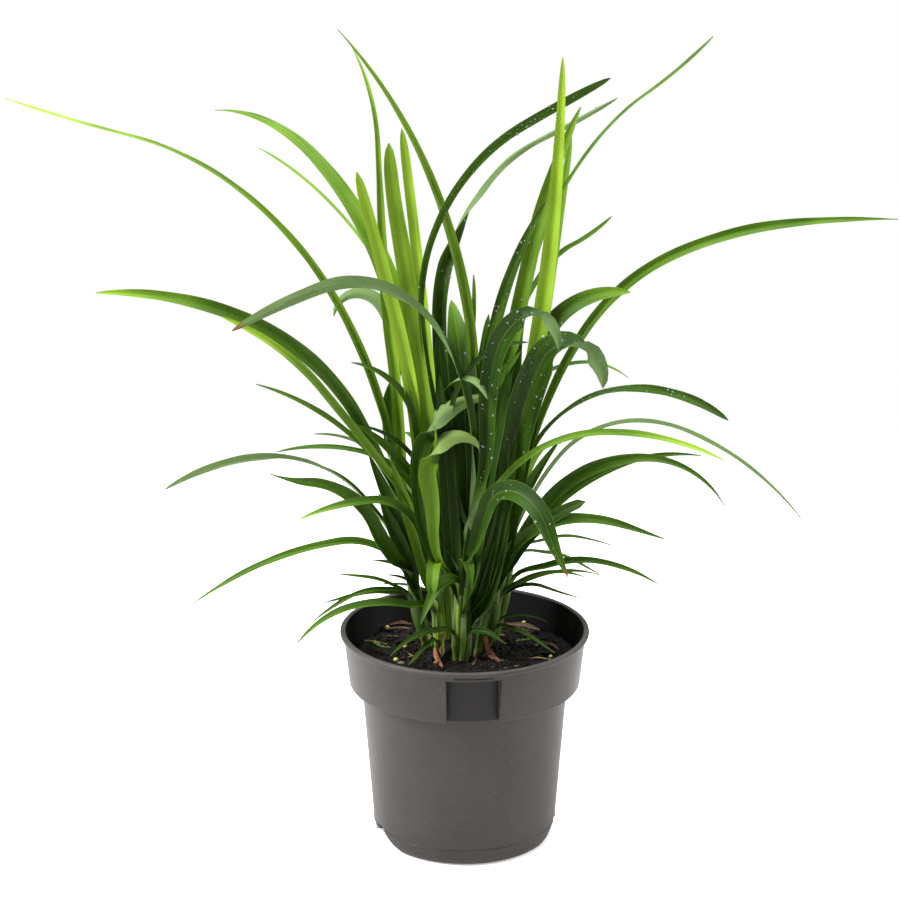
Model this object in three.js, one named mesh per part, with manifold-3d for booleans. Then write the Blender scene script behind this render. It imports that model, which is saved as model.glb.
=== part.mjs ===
// Potted flax lily: a nursery pot, its potting mix, seven shoots and the strap leaves that grow on them.
// Millimetres and degrees, +Z up. The origin is on the pot's axis, in the plane that the pot stands on.
// The front of the pot, with its label recess, faces -Y.

import * as THREE from 'three';
import { mergeVertices } from 'three/addons/utils/BufferGeometryUtils.js';
import Module from 'manifold-3d';

const wasm = await Module();
wasm.setup();

// Fits
const GAP = 0.3; // clearance between neighbouring pieces
const SIDES = 48; // flat facets round the pot and the potting mix
const ARC_SEGMENTS = 6; // flat facets along a short arc
const CUT = 3; // how far a cutter reaches past what it cuts

// Pot
const POT_HEIGHT = 124.5;
const POT_WALL = 1.4;
const BEVEL = 0.6; // where two faces of the pot meet
const LIP_RADIUS = 70.7;
const LIP_HEIGHT = 3;
const COLLAR_TOP_RADIUS = 68.7;
const COLLAR_BOTTOM_RADIUS = 65.6;
const COLLAR_BOTTOM = 93;
const WALL_TOP_RADIUS = 58.8;
const WALL_BOTTOM_RADIUS = 52.3;
const FOOT_BAND = 10; // height of the slightly inset band at the foot of the wall
const FOOT_INSET = 0.4;
const FOOT_FLARE = 3; // how far the foot ring widens above the ground
const FOOT_FLARE_HEIGHT = 1.2;
const FOOT_CURVE_TOP = 4;
const FOOT_RING_OUTER = 47;
const FOOT_RING_INNER = 44.5;
const FLOOR_UNDERSIDE = 8.4;
const FLOOR_TOP = 10;
const FLOOR_CURVE = 2; // slope between floor and wall inside
const CENTRE_FOOT_RADIUS = 15;
const CENTRE_FOOT_SLOPE = 7; // how much wider the centre foot is where it meets the floor

// Label recess and tag slot, cut in the collar at the front
const LABEL_BEARING = 274;
const LABEL_HALF_ANGLE = 13;
const LABEL_FRAME_ANGLE = 1.6; // wall at each side of the recess
const LABEL_CLEARANCE_ANGLE = 0.5; // between that wall and the mix
const LABEL_BOTTOM = 92; // below the collar, so the recess is open at its foot
const LABEL_TOP = 119;
const LABEL_RADIUS = 61.4; // outer face of the recessed panel
const LABEL_LEDGE = 122.8; // top edge of the panel, a little below the lip
const SLOT_OUTER_RADIUS = 66.8;
const SLOT_RIB_HALF_ANGLE = 0.5;
const SLOT_RIB_OFFSETS = [-5, 5];

// Drainage
const NOTCH_BEARINGS = [-8, 99, 206]; // centres of the notches in the foot ring
const NOTCH_HALF_ANGLE = 20;
const NOTCH_TOP_HALF_ANGLE = 12;
const NOTCH_HEIGHT = 8;
const DRAIN_SLIT_HALF_ANGLE = 4.5; // one slit over the middle of each notch
const DRAIN_SLIT_BOTTOM = 7.4;
const DRAIN_SLIT_TOP = 11.5;
const DRAIN_HOLES = 8;
const DRAIN_HOLE_RADIUS = 4;
const DRAIN_HOLE_SIDES = 12;
const DRAIN_HOLE_CIRCLE = 34;

// Potting mix
const MIX_LEVEL = 106;
const MIX_MOUND = 2.5; // how much higher it lies round the shoots
const MIX_BUMP = 0.4;
const MIX_WAVES = [{ turns: 3, drift: 0.09 }, { turns: 7, drift: -0.21 }]; // drift in radians per mm outwards
const MIX_RINGS = 7;
const MIX_FLARE = 0.4; // its top edge is this much wider than its shoulder

// Shoots and leaves
const SHOOT_DEPTH = 12; // buried length of a shoot
const SHOOT_SIDES = 8;
const SHOOT_STATIONS = 6;
const SHOOT_TIP_SCALE = 0.3;
const LEAF_STATIONS = 12;
const LEAF_SUBSTEPS = 4; // steps of the path between two stations
const LEAF_THICKNESS = 0.7;
const LEAF_EDGE = 0.5; // thickness at the margins
const LEAF_BASE_WIDTH = 0.3; // width where the leaf leaves its shoot, as a part of its full width
const LEAF_FULL_AT = 0.36; // part of the length by which the leaf is at full width
const LEAF_FREE_AT = 0.15; // part of the length by which it has turned away from its shoot
const LEAF_TAPER_FROM = 0.45; // part of the length from which it narrows to the tip
const LEAF_TIP_WIDTH = 0.6;
const LEAF_TIP_SCALE = 0.6; // thickness at the tip, as a part of the full one
const FOLD_BASE = 34; // slope of the two halves beside the midrib
const FOLD_MIDDLE = 20;
const FOLD_TIP = 12;

// Every shoot: its foot on the mix, how it leans, its height and section, and its leaves from the lowest up.
// A leaf: the height at which it leaves the shoot, its length and width, the bearing that it grows to,
// its leans from upright at equal steps from base to tip, and any twist towards its tip.
// It starts on the side of the shoot that it grows to, or else on the side given.
const SHOOTS = [
  {
    name: 'left', foot: [-20, 14], bearing: 172, lean: 12, top: 190, width: 6, thickness: 4.5,
    leaves: [
      { start: 126, length: 81, width: 4, bearing: 212, leans: [22, 68, 105, 120] },
      { start: 134, length: 158, width: 5, bearing: 178, leans: [-10, 50, 100, 110, 120, 127] },
      { start: 136, length: 145, width: 8, bearing: 220, leans: [42, 36, 26, 52, 74, 62], twist: 20 },
      { start: 150, length: 183, width: 5, bearing: 200, leans: [22, 40, 86, 117] },
      { start: 164, length: 259, width: 7, bearing: 190, leans: [16, 27, 63, 90], side: 315 },
      { start: 164, length: 292, width: 8, bearing: 124, leans: [-12, 4, 13, 4, 4, 50], side: 90 },
      { start: 170, length: 373, width: 7, bearing: 166, leans: [-12, 14, 31, 53, 79, 74] },
    ],
  },
  {
    name: 'front_left', foot: [-13, 0], bearing: 200, lean: 3, top: 180, width: 5.5, thickness: 4,
    leaves: [
      { start: 124, length: 122, width: 5, bearing: 226, leans: [56, 69, 87, 123] },
      { start: 135, length: 138, width: 4, bearing: 212, leans: [16, 12, 83, 104], side: 225 },
      { start: 137, length: 50, width: 6.5, bearing: 264, leans: [-10, 18, 116, 202] },
      { start: 148, length: 214, width: 6, bearing: 198, leans: [4, 35, 37, 64], side: 180 },
      { start: 158, length: 157, width: 4.5, bearing: 182, leans: [0, 36, 50, 73] },
      { start: 168, length: 238, width: 10, bearing: 174, leans: [4, 3, 10, 5, 10, 2], side: 270 },
    ],
  },
  {
    name: 'front', foot: [-3, -10], bearing: 350, lean: 3, top: 185, width: 6.5, thickness: 4.5,
    leaves: [
      { start: 118, length: 53, width: 5, bearing: 214, leans: [20, 76, 106, 128] },
      { start: 141, length: 132, width: 9.5, bearing: 191, leans: [60, 24, 0, 12, -55, -163], side: 224 },
      { start: 146, length: 158, width: 5.5, bearing: 175, leans: [22, 16, 8, 83] },
      { start: 148, length: 147, width: 11, bearing: 312, leans: [8, 19, 22, 91, 149, 140] },
      { start: 148, length: 161, width: 7, bearing: 126, leans: [0, 5, 13, 14, -50, -146] },
      { start: 156, length: 202, width: 4, bearing: 343, leans: [0, 38, 84, 113], side: 40 },
      { start: 178, length: 283, width: 7, bearing: 217, leans: [-11, 3, 21, 58, 103, 101], side: 80 },
      { start: 160, length: 158, width: 9, bearing: 105, leans: [13, -1, 18, 48], side: 60 },
      { start: 181, length: 179, width: 9, bearing: 322, leans: [38, 13, -1, 12, 54, 186], side: 315 },
    ],
  },
  {
    name: 'middle', foot: [-2, 6], bearing: 90, lean: 2, top: 190, width: 6, thickness: 4.5,
    leaves: [
      { start: 140, length: 157, width: 6, bearing: 188, leans: [16, 8, 2, 16, -37, -175], side: 135 },
      { start: 158, length: 243, width: 7, bearing: 205, leans: [50, 5, 15, 15] },
      { start: 158, length: 164, width: 6, bearing: 326, leans: [21, 10, -1, 23] },
      { start: 166, length: 243, width: 6, bearing: 140, leans: [34, 6, 8, 9] },
      { start: 168, length: 213, width: 6, bearing: 343, leans: [24, 2, 14, 30], side: 290 },
      { start: 186, length: 314, width: 5, bearing: 211, leans: [22, 17, 6, -38, -65, -64] },
      { start: 180, length: 248, width: 8, bearing: 21, leans: [32, 11, 10, 28] },
      { start: 182, length: 299, width: 6, bearing: 164, leans: [-16, 4, 22, 44], side: 300 },
    ],
  },
  {
    name: 'right', foot: [8, 3], bearing: 4, lean: 12, top: 195, width: 9, thickness: 6,
    leaves: [
      { start: 118, length: 46, width: 5, bearing: 332, leans: [39, 88, 114, 118] },
      { start: 142, length: 127, width: 4.5, bearing: 348, leans: [0, 29, 56, 84, 104, 107], side: 270 },
      { start: 152, length: 245, width: 4, bearing: 338, leans: [12, 36, 105, 139], side: 30 },
      { start: 156, length: 206, width: 6, bearing: 14, leans: [8, 22, 90, 129], side: 90 },
      { start: 168, length: 187, width: 11, bearing: 326, leans: [22, -1, 17, 14, 63, 221], side: 270 },
      { start: 176, length: 274, width: 12, bearing: 34, leans: [14, 12, 6, 1], side: 180 },
    ],
  },
  {
    name: 'back', foot: [-8, 24], bearing: 130, lean: 4, top: 190, width: 6.5, thickness: 4.5,
    leaves: [
      { start: 134, length: 150, width: 4.5, bearing: 104, leans: [20, 40, 80, 112] },
      { start: 146, length: 210, width: 5, bearing: 72, leans: [16, 30, 66, 100] },
      { start: 150, length: 141, width: 4, bearing: 175, leans: [10, 29, 79, 106], side: 265 },
      { start: 154, length: 200, width: 8, bearing: 158, leans: [56, 34, 9, -18, 39, 174], side: 200 },
      { start: 158, length: 329, width: 9.5, bearing: 142, leans: [4, 21, 39, 96] },
      { start: 168, length: 292, width: 4, bearing: 130, leans: [6, 23, 59, 81], side: 45 },
      { start: 178, length: 308, width: 7, bearing: 218, leans: [-26, 7, 0, -39, -75, -72] },
    ],
  },
  {
    name: 'back_right', foot: [15, 20], bearing: 25, lean: 11, top: 190, width: 6.5, thickness: 4.5,
    leaves: [
      { start: 132, length: 101, width: 4.5, bearing: 2, leans: [40, 71, 103, 124] },
      { start: 136, length: 150, width: 5, bearing: 72, leans: [20, 45, 84, 116] },
      { start: 142, length: 176, width: 6, bearing: 348, leans: [12, 39, 82, 151] },
      { start: 150, length: 197, width: 4, bearing: 40, leans: [-4, -4, 80, 129], side: 135 },
      { start: 162, length: 190, width: 8, bearing: 347, leans: [6, 2, 21, 93], side: 270 },
      { start: 160, length: 271, width: 4, bearing: 62, leans: [-10, -7, 9, 60, 89, 78], side: 225 },
      { start: 170, length: 326, width: 7, bearing: 10, leans: [4, 16, 35, 68, 86, 94], side: 0 },
      { start: 186, length: 344, width: 4, bearing: 48, leans: [-6, -7, 20, 50, 73, 63] },
    ],
  },
];

const plastic = { color: 0x5f5b59, roughness: 0.55, metalness: 0 };
const mix = { color: 0x2a211b, roughness: 0.95, metalness: 0 };
const stem = { color: 0x7c9e3c, roughness: 0.5, metalness: 0 };
const blade = { color: 0x4c8a2c, roughness: 0.42, metalness: 0 };

// A point at a radius and bearing in the ground plane's directions
function polar(radius, bearing, height) {
  const angle = THREE.MathUtils.degToRad(bearing);
  return new THREE.Vector3(radius * Math.cos(angle), radius * Math.sin(angle), height);
}

// Geometry to a closed solid: vertices are merged, and faces that merging flattened are left out
function toSolid(geometry) {
  geometry.deleteAttribute('normal');
  geometry.deleteAttribute('uv');
  const merged = mergeVertices(geometry, 1e-4);
  const index = merged.index.array;
  const faces = [];
  for (let i = 0; i < index.length; i += 3) {
    const [a, b, c] = index.slice(i, i + 3);
    if (a !== b && b !== c && c !== a) {
      faces.push(a, b, c);
    }
  }
  const vertProperties = Float32Array.from(merged.attributes.position.array);
  return new wasm.Manifold(new wasm.Mesh({ numProp: 3, vertProperties, triVerts: Uint32Array.from(faces) }));
}

// A solid's surface as geometry
function toGeometry(solid) {
  const surface = solid.getMesh();
  const geometry = new THREE.BufferGeometry();
  geometry.setAttribute('position', new THREE.BufferAttribute(Float32Array.from(surface.vertProperties), 3));
  geometry.setIndex(new THREE.BufferAttribute(Uint32Array.from(surface.triVerts), 1));
  geometry.computeVertexNormals();
  return geometry;
}

// Geometry through equal rings of points, closed by a flat cap at each end
function loftGeometry(rings) {
  const sides = rings[0].length;
  const faces = [];
  for (let i = 0; i < rings.length - 1; i += 1) {
    for (let k = 0; k < sides; k += 1) {
      const a = i * sides + k;
      const b = i * sides + ((k + 1) % sides);
      faces.push(a, b, a + sides, b, b + sides, a + sides);
    }
  }
  const last = (rings.length - 1) * sides;
  for (let k = 1; k < sides - 1; k += 1) {
    faces.push(0, k + 1, k);
    faces.push(last, last + k, last + k + 1);
  }
  const geometry = new THREE.BufferGeometry();
  geometry.setFromPoints(rings.flat());
  geometry.setIndex(faces);
  return geometry;
}

// A profile of [radius, height] pairs from axis to axis, turned about Z
function turnedSolid(profile) {
  const points = profile.map(([radius, height]) => new THREE.Vector2(radius, height));
  const geometry = new THREE.LatheGeometry(points, SIDES);
  geometry.rotateX(Math.PI / 2);
  return toSolid(geometry);
}

// A block between two radii and two heights, as wide as twice the half angle at its bearing
function sectorSolid(inner, outer, bottom, top, bearing, halfAngle) {
  const from = THREE.MathUtils.degToRad(bearing - halfAngle);
  const to = THREE.MathUtils.degToRad(bearing + halfAngle);
  const outline = new THREE.Shape();
  outline.absarc(0, 0, outer, from, to, false);
  outline.absarc(0, 0, inner, to, from, true);
  const geometry = new THREE.ExtrudeGeometry(outline, {
    depth: top - bottom,
    bevelEnabled: false,
    curveSegments: ARC_SEGMENTS,
  });
  geometry.translate(0, 0, bottom);
  return toSolid(geometry);
}

// A wedge that cuts one drainage notch: its sides slope in towards the top
function notchSolid(bearing) {
  const corners = [
    [NOTCH_HALF_ANGLE, -BEVEL],
    [NOTCH_TOP_HALF_ANGLE, NOTCH_HEIGHT],
    [-NOTCH_TOP_HALF_ANGLE, NOTCH_HEIGHT],
    [-NOTCH_HALF_ANGLE, -BEVEL],
  ];
  const rings = [FOOT_RING_INNER - CUT, WALL_BOTTOM_RADIUS + CUT].map((radius) =>
    corners.map(([angle, height]) => polar(radius, bearing + angle, height)));
  return toSolid(loftGeometry(rings));
}

// A round drain hole's cutter through the pot's floor
function drainHoleSolid(index) {
  const geometry = new THREE.CylinderGeometry(
    DRAIN_HOLE_RADIUS, DRAIN_HOLE_RADIUS, FLOOR_TOP, DRAIN_HOLE_SIDES);
  geometry.rotateX(Math.PI / 2);
  const centre = polar(DRAIN_HOLE_CIRCLE, (index * 360) / DRAIN_HOLES, FLOOR_TOP);
  geometry.translate(centre.x, centre.y, centre.z);
  return toSolid(geometry);
}

// The pot's outline from the middle of its underside, up the outside and down the inside
function potProfile() {
  const lipBottom = POT_HEIGHT - LIP_HEIGHT;
  const footRadius = WALL_BOTTOM_RADIUS - FOOT_INSET;
  const insideLip = COLLAR_TOP_RADIUS - POT_WALL;
  const insideFoot = WALL_BOTTOM_RADIUS - POT_WALL;
  const shelf = COLLAR_BOTTOM + POT_WALL;
  const centreTop = CENTRE_FOOT_RADIUS + CENTRE_FOOT_SLOPE;
  return [
    [0, 0],
    [CENTRE_FOOT_RADIUS, 0],
    [centreTop, FLOOR_UNDERSIDE],
    [FOOT_RING_INNER - BEVEL, FLOOR_UNDERSIDE],
    [FOOT_RING_INNER, 0],
    [FOOT_RING_OUTER, 0],
    [FOOT_RING_OUTER + FOOT_FLARE, FOOT_FLARE_HEIGHT],
    [footRadius - BEVEL, FOOT_CURVE_TOP],
    [footRadius, FOOT_BAND],
    [WALL_BOTTOM_RADIUS, FOOT_BAND + FOOT_INSET],
    [WALL_TOP_RADIUS, COLLAR_BOTTOM],
    [COLLAR_BOTTOM_RADIUS - BEVEL, COLLAR_BOTTOM],
    [COLLAR_BOTTOM_RADIUS, COLLAR_BOTTOM + BEVEL],
    [COLLAR_TOP_RADIUS, lipBottom],
    [LIP_RADIUS - BEVEL, lipBottom + BEVEL],
    [LIP_RADIUS, lipBottom + 2 * BEVEL],
    [LIP_RADIUS, POT_HEIGHT - BEVEL],
    [LIP_RADIUS - BEVEL, POT_HEIGHT],
    [insideLip + BEVEL, POT_HEIGHT],
    [insideLip, POT_HEIGHT - BEVEL],
    [COLLAR_BOTTOM_RADIUS - POT_WALL, shelf],
    [WALL_TOP_RADIUS - POT_WALL, shelf],
    [insideFoot, FLOOR_TOP + FLOOR_CURVE],
    [insideFoot - FLOOR_CURVE, FLOOR_TOP],
    [centreTop - POT_WALL, FLOOR_TOP],
    [CENTRE_FOOT_RADIUS - POT_WALL, POT_WALL],
    [0, POT_WALL],
  ];
}

// The block that closes the collar behind the label recess, with the recess and the tag slot cut from it
function addLabelRecess(body) {
  const frameAngle = LABEL_HALF_ANGLE + LABEL_FRAME_ANGLE;
  const block = sectorSolid(
    LABEL_RADIUS - POT_WALL, COLLAR_BOTTOM_RADIUS, COLLAR_BOTTOM + BEVEL, LABEL_LEDGE,
    LABEL_BEARING, frameAngle);
  const recess = sectorSolid(
    LABEL_RADIUS, LIP_RADIUS + CUT, LABEL_BOTTOM, LABEL_TOP, LABEL_BEARING, LABEL_HALF_ANGLE);
  const slot = sectorSolid(
    LABEL_RADIUS, SLOT_OUTER_RADIUS, LABEL_TOP - BEVEL, POT_HEIGHT + CUT, LABEL_BEARING, LABEL_HALF_ANGLE);
  let pot = body.add(block).subtract(recess).subtract(slot);
  for (const offset of SLOT_RIB_OFFSETS) {
    pot = pot.add(sectorSolid(
      LABEL_RADIUS - BEVEL, SLOT_OUTER_RADIUS + BEVEL, LABEL_TOP + BEVEL, LABEL_LEDGE - BEVEL,
      LABEL_BEARING + offset, SLOT_RIB_HALF_ANGLE));
  }
  return pot;
}

// The drainage: notches in the foot ring, a slit above each in the wall and holes in the floor
function cutDrainage(body) {
  let pot = body;
  for (const bearing of NOTCH_BEARINGS) {
    pot = pot.subtract(notchSolid(bearing)).subtract(sectorSolid(
      FOOT_RING_INNER + BEVEL, WALL_BOTTOM_RADIUS + CUT, DRAIN_SLIT_BOTTOM, DRAIN_SLIT_TOP,
      bearing, DRAIN_SLIT_HALF_ANGLE));
  }
  for (let i = 0; i < DRAIN_HOLES; i += 1) {
    pot = pot.subtract(drainHoleSolid(i));
  }
  return pot;
}

// Height of the mix's surface at a radius and bearing: a low mound with soft bumps
function mixHeight(radius, bearing) {
  const angle = THREE.MathUtils.degToRad(bearing);
  const outward = radius / COLLAR_BOTTOM_RADIUS;
  let height = MIX_LEVEL + MIX_MOUND * Math.cos((Math.PI / 2) * outward);
  for (const wave of MIX_WAVES) {
    height += MIX_BUMP * outward * Math.sin(wave.turns * angle + wave.drift * radius);
  }
  return height;
}

// The mix: fills the pot to just below the rim, with a bumpy top and a socket round each shoot
function mixSolid() {
  const neck = WALL_TOP_RADIUS - POT_WALL - GAP;
  const shoulder = COLLAR_BOTTOM_RADIUS - POT_WALL - GAP;
  const foot = WALL_BOTTOM_RADIUS - POT_WALL - GAP;
  const shelf = COLLAR_BOTTOM + POT_WALL + GAP;
  const outline = [
    [foot - FLOOR_CURVE, FLOOR_TOP + GAP],
    [foot, FLOOR_TOP + FLOOR_CURVE + GAP],
    [neck, COLLAR_BOTTOM],
    [neck, shelf],
    [shoulder, shelf],
  ];
  const bearings = Array.from({ length: SIDES }, (_, k) => (k * 360) / SIDES);
  const rings = outline.map(([radius, height]) => bearings.map((bearing) => polar(radius, bearing, height)));
  for (let i = 0; i < MIX_RINGS; i += 1) {
    const radius = (shoulder + MIX_FLARE) * (1 - i / MIX_RINGS);
    rings.push(bearings.map((bearing) => polar(radius, bearing, mixHeight(radius, bearing))));
  }
  const inset = LABEL_HALF_ANGLE + LABEL_FRAME_ANGLE + LABEL_CLEARANCE_ANGLE;
  const labelSide = sectorSolid(
    LABEL_RADIUS - POT_WALL - GAP, LIP_RADIUS, COLLAR_BOTTOM - CUT, POT_HEIGHT, LABEL_BEARING, inset);
  let solid = toSolid(loftGeometry(rings)).subtract(labelSide);
  for (const shoot of SHOOTS) {
    solid = solid.subtract(toSolid(shootGeometry(shoot, GAP)));
  }
  return solid;
}

// A point of a shoot's axis at a height
function shootPoint(shoot, height) {
  const [x, y] = shoot.foot;
  const rise = height - MIX_LEVEL;
  const offset = polar(rise * Math.tan(THREE.MathUtils.degToRad(shoot.lean)), shoot.bearing, height);
  return offset.add(new THREE.Vector3(x, y, 0));
}

// How much of its full section a shoot still has at a height
function shootScale(shoot, height) {
  const rise = Math.max(0, height - MIX_LEVEL) / (shoot.top - MIX_LEVEL);
  return THREE.MathUtils.lerp(1, SHOOT_TIP_SCALE, rise * Math.sqrt(rise));
}

// A shoot: a flattened stem of oval section that narrows upwards, wider by the margin where it is a cutter
function shootGeometry(shoot, margin = 0) {
  const bottom = MIX_LEVEL - SHOOT_DEPTH - margin;
  const rings = [];
  for (let i = 0; i <= SHOOT_STATIONS; i += 1) {
    const height = THREE.MathUtils.lerp(bottom, shoot.top, i / SHOOT_STATIONS);
    const scale = shootScale(shoot, height);
    const centre = shootPoint(shoot, height);
    const ring = [];
    for (let k = 0; k < SHOOT_SIDES; k += 1) {
      const turn = (2 * Math.PI * k) / SHOOT_SIDES;
      const along = Math.cos(turn) * ((shoot.width / 2) * scale + margin);
      const across = Math.sin(turn) * ((shoot.thickness / 2) * scale + margin);
      const point = polar(along, shoot.bearing, 0).add(polar(across, shoot.bearing + 90, 0));
      ring.push(point.add(centre));
    }
    rings.push(ring);
  }
  return loftGeometry(rings);
}

// Distance from a shoot's axis to its surface in a bearing
function shootRadius(shoot, height, bearing) {
  const turn = THREE.MathUtils.degToRad(bearing - shoot.bearing);
  const scale = shootScale(shoot, height);
  const along = Math.cos(turn) / ((shoot.width / 2) * scale);
  const across = Math.sin(turn) / ((shoot.thickness / 2) * scale);
  return 1 / Math.hypot(along, across);
}

// A value between those given at equal steps along a leaf
function between(values, t) {
  const place = t * (values.length - 1);
  const i = Math.min(Math.floor(place), values.length - 2);
  return THREE.MathUtils.lerp(values[i], values[i + 1], place - i);
}

// Half the width of a leaf at a part of its length
function leafHalfWidth(leaf, t) {
  const opening = THREE.MathUtils.smoothstep(t, 0, LEAF_FULL_AT);
  const widening = THREE.MathUtils.lerp(LEAF_BASE_WIDTH, 1, opening);
  const towardsTip = Math.max(0, (t - LEAF_TAPER_FROM) / (1 - LEAF_TAPER_FROM));
  return Math.max((leaf.width * widening * (1 - towardsTip ** 2)) / 2, LEAF_TIP_WIDTH / 2);
}

// The six points of a leaf's section: a shallow V that opens to the leaf's upper side
function leafRing(leaf, t, centre, direction) {
  const side = polar(1, leaf.bearing + 90, 0);
  const up = new THREE.Vector3().crossVectors(direction, side).normalize();
  const across = new THREE.Vector3().crossVectors(up, direction);
  const roll = THREE.MathUtils.degToRad((leaf.twist ?? 0) * t);
  across.applyAxisAngle(direction, roll);
  up.applyAxisAngle(direction, roll);
  const half = leafHalfWidth(leaf, t);
  const fold = THREE.MathUtils.degToRad(between([FOLD_BASE, FOLD_MIDDLE, FOLD_TIP], t));
  const slim = THREE.MathUtils.clamp(half, LEAF_TIP_SCALE, 1);
  const thick = LEAF_THICKNESS * slim;
  const edge = LEAF_EDGE * slim;
  const point = (aside, lift) => centre.clone().addScaledVector(across, aside).addScaledVector(up, lift);
  const reach = half * Math.cos(fold);
  const rise = half * Math.sin(fold);
  return [
    point(reach, rise),
    point(0, 0),
    point(-reach, rise),
    point(-reach, rise - edge),
    point(0, -thick),
    point(reach, rise - edge),
  ];
}

// A leaf: the section carried along a path that bends as the leaf's leans say
function leafGeometry(shoot, leaf) {
  const shootLean = THREE.MathUtils.degToRad(shoot.lean);
  const alongShoot = polar(Math.sin(shootLean), shoot.bearing, Math.cos(shootLean));
  const heading = (t) => {
    const lean = THREE.MathUtils.degToRad(between(leaf.leans, t));
    const own = polar(Math.sin(lean), leaf.bearing, Math.cos(lean));
    return alongShoot.clone().lerp(own, THREE.MathUtils.smoothstep(t, 0, LEAF_FREE_AT)).normalize();
  };
  const side = leaf.side ?? leaf.bearing;
  const outward = polar(1, side, 0);
  const section = leafRing(leaf, 0, new THREE.Vector3(), alongShoot);
  const inward = Math.max(...section.map((point) => -point.dot(outward)));
  const offset = shootRadius(shoot, leaf.start, side) + inward + GAP;
  const centre = shootPoint(shoot, leaf.start).addScaledVector(outward, offset);
  const stride = leaf.length / (LEAF_STATIONS * LEAF_SUBSTEPS);
  const rings = [];
  for (let i = 0; i <= LEAF_STATIONS; i += 1) {
    const t = i / LEAF_STATIONS;
    rings.push(leafRing(leaf, t, centre, heading(t)));
    for (let k = 0; k < LEAF_SUBSTEPS; k += 1) {
      const middle = Math.min(1, t + (k + 0.5) / (LEAF_STATIONS * LEAF_SUBSTEPS));
      centre.addScaledVector(heading(middle), stride);
    }
  }
  return loftGeometry(rings);
}

function addPiece(group, name, geometry, finish) {
  const mesh = new THREE.Mesh(geometry, new THREE.MeshStandardMaterial(finish));
  mesh.name = name;
  group.add(mesh);
}

const group = new THREE.Group();
addPiece(group, 'pot', toGeometry(cutDrainage(addLabelRecess(turnedSolid(potProfile())))), plastic);
addPiece(group, 'potting_mix', toGeometry(mixSolid()), mix);
for (const shoot of SHOOTS) {
  addPiece(group, `${shoot.name}_shoot`, shootGeometry(shoot), stem);
  shoot.leaves.forEach((leaf, i) => {
    addPiece(group, `${shoot.name}_leaf_${i + 1}`, leafGeometry(shoot, leaf), blade);
  });
}

export default group;
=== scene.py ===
"""Potted flax lily: the finished look of the plant, its potting mix and its nursery pot.

The origin is on the pot's axis, in the plane that the pot stands on, +Z is up and the front of the pot
faces -Y. Sizes in the dataclasses are millimetres and degrees; a mesh is made in metres.
"""

import logging
import math
from dataclasses import dataclass
from enum import Enum
from typing import Any, Iterable, Sequence

import bpy
import numpy as np
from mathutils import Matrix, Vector, noise


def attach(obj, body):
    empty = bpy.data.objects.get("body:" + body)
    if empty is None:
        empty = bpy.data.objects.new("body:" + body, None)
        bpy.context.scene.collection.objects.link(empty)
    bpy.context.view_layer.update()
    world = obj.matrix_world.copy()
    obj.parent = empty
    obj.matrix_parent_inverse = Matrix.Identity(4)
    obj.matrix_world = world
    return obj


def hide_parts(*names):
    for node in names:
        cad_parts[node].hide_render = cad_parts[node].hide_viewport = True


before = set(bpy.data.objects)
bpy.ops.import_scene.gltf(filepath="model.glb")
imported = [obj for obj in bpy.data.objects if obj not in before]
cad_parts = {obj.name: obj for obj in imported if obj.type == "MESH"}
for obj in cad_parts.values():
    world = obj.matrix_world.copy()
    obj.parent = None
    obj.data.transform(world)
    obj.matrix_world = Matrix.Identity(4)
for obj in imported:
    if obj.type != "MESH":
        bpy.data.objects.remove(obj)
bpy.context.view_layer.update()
MM = 0.001
BODY = "root"
LOG = logging.getLogger("flax_lily")

Array = np.ndarray
Face = tuple[int, ...]
Part = tuple[list[Array], list[Face]]
Tones = tuple[tuple[float, str], ...]
Socket = bpy.types.NodeSocket
Tree = bpy.types.NodeTree


def linear(colour: str) -> tuple[float, float, float, float]:
    """Turn an sRGB hex colour into linear RGBA.

    Args:
        colour: a colour such as "#5b5652".

    Returns:
        Red, green, blue and alpha for a shader's socket.
    """
    parts = [int(colour[i:i + 2], 16) / 255 for i in (1, 3, 5)]
    low, high = 0.04045, 2.4
    made = [p / 12.92 if p <= low else ((p + 0.055) / 1.055) ** high for p in parts]
    return (*made, 1.0)


def add(
    tree: Tree,
    kind: str,
    inputs: dict[int | str, Any] | None = None,
    out: int = 0,
    stops: Sequence[tuple[float, str]] = (),
    **settings: Any,
) -> Socket | None:
    """Add a node with its settings, values and links.

    Args:
        tree: the node tree.
        kind: the node's type.
        inputs: a value or another node's socket for each input, by number or name.
        out: the number of the output that is wanted.
        stops: places and hex colours of a colour ramp.
        settings: the node's own properties.

    Returns:
        The wanted output, or None for a node without outputs.
    """
    node = tree.nodes.new(kind)
    for name, value in settings.items():
        setattr(node, name, value)
    for key, value in (inputs or {}).items():
        if isinstance(value, Socket):
            tree.links.new(value, node.inputs[key])
        else:
            node.inputs[key].default_value = value
    for i, (place, colour) in enumerate(stops):
        elements = node.color_ramp.elements
        stop = elements[i] if i < len(elements) else elements.new(place)
        stop.position = place
        stop.color = linear(colour)
    return node.outputs[out] if len(node.outputs) else None


@dataclass(frozen=True)
class Finish:
    """A real material and how its surface was made."""

    name: str

    def surface(self, tree: Tree) -> Socket:
        """Build the nodes and return the surface shader's output."""
        raise NotImplementedError

    def material(self) -> bpy.types.Material:
        """Make the material on its first use.

        Returns:
            The material that all pieces of this finish share.
        """
        made = bpy.data.materials.get(self.name)
        if made is None:
            made = bpy.data.materials.new(self.name)
            made.use_nodes = True
            made.node_tree.nodes.clear()
            add(made.node_tree, "ShaderNodeOutputMaterial", {"Surface": self.surface(made.node_tree)})
        return made


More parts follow.
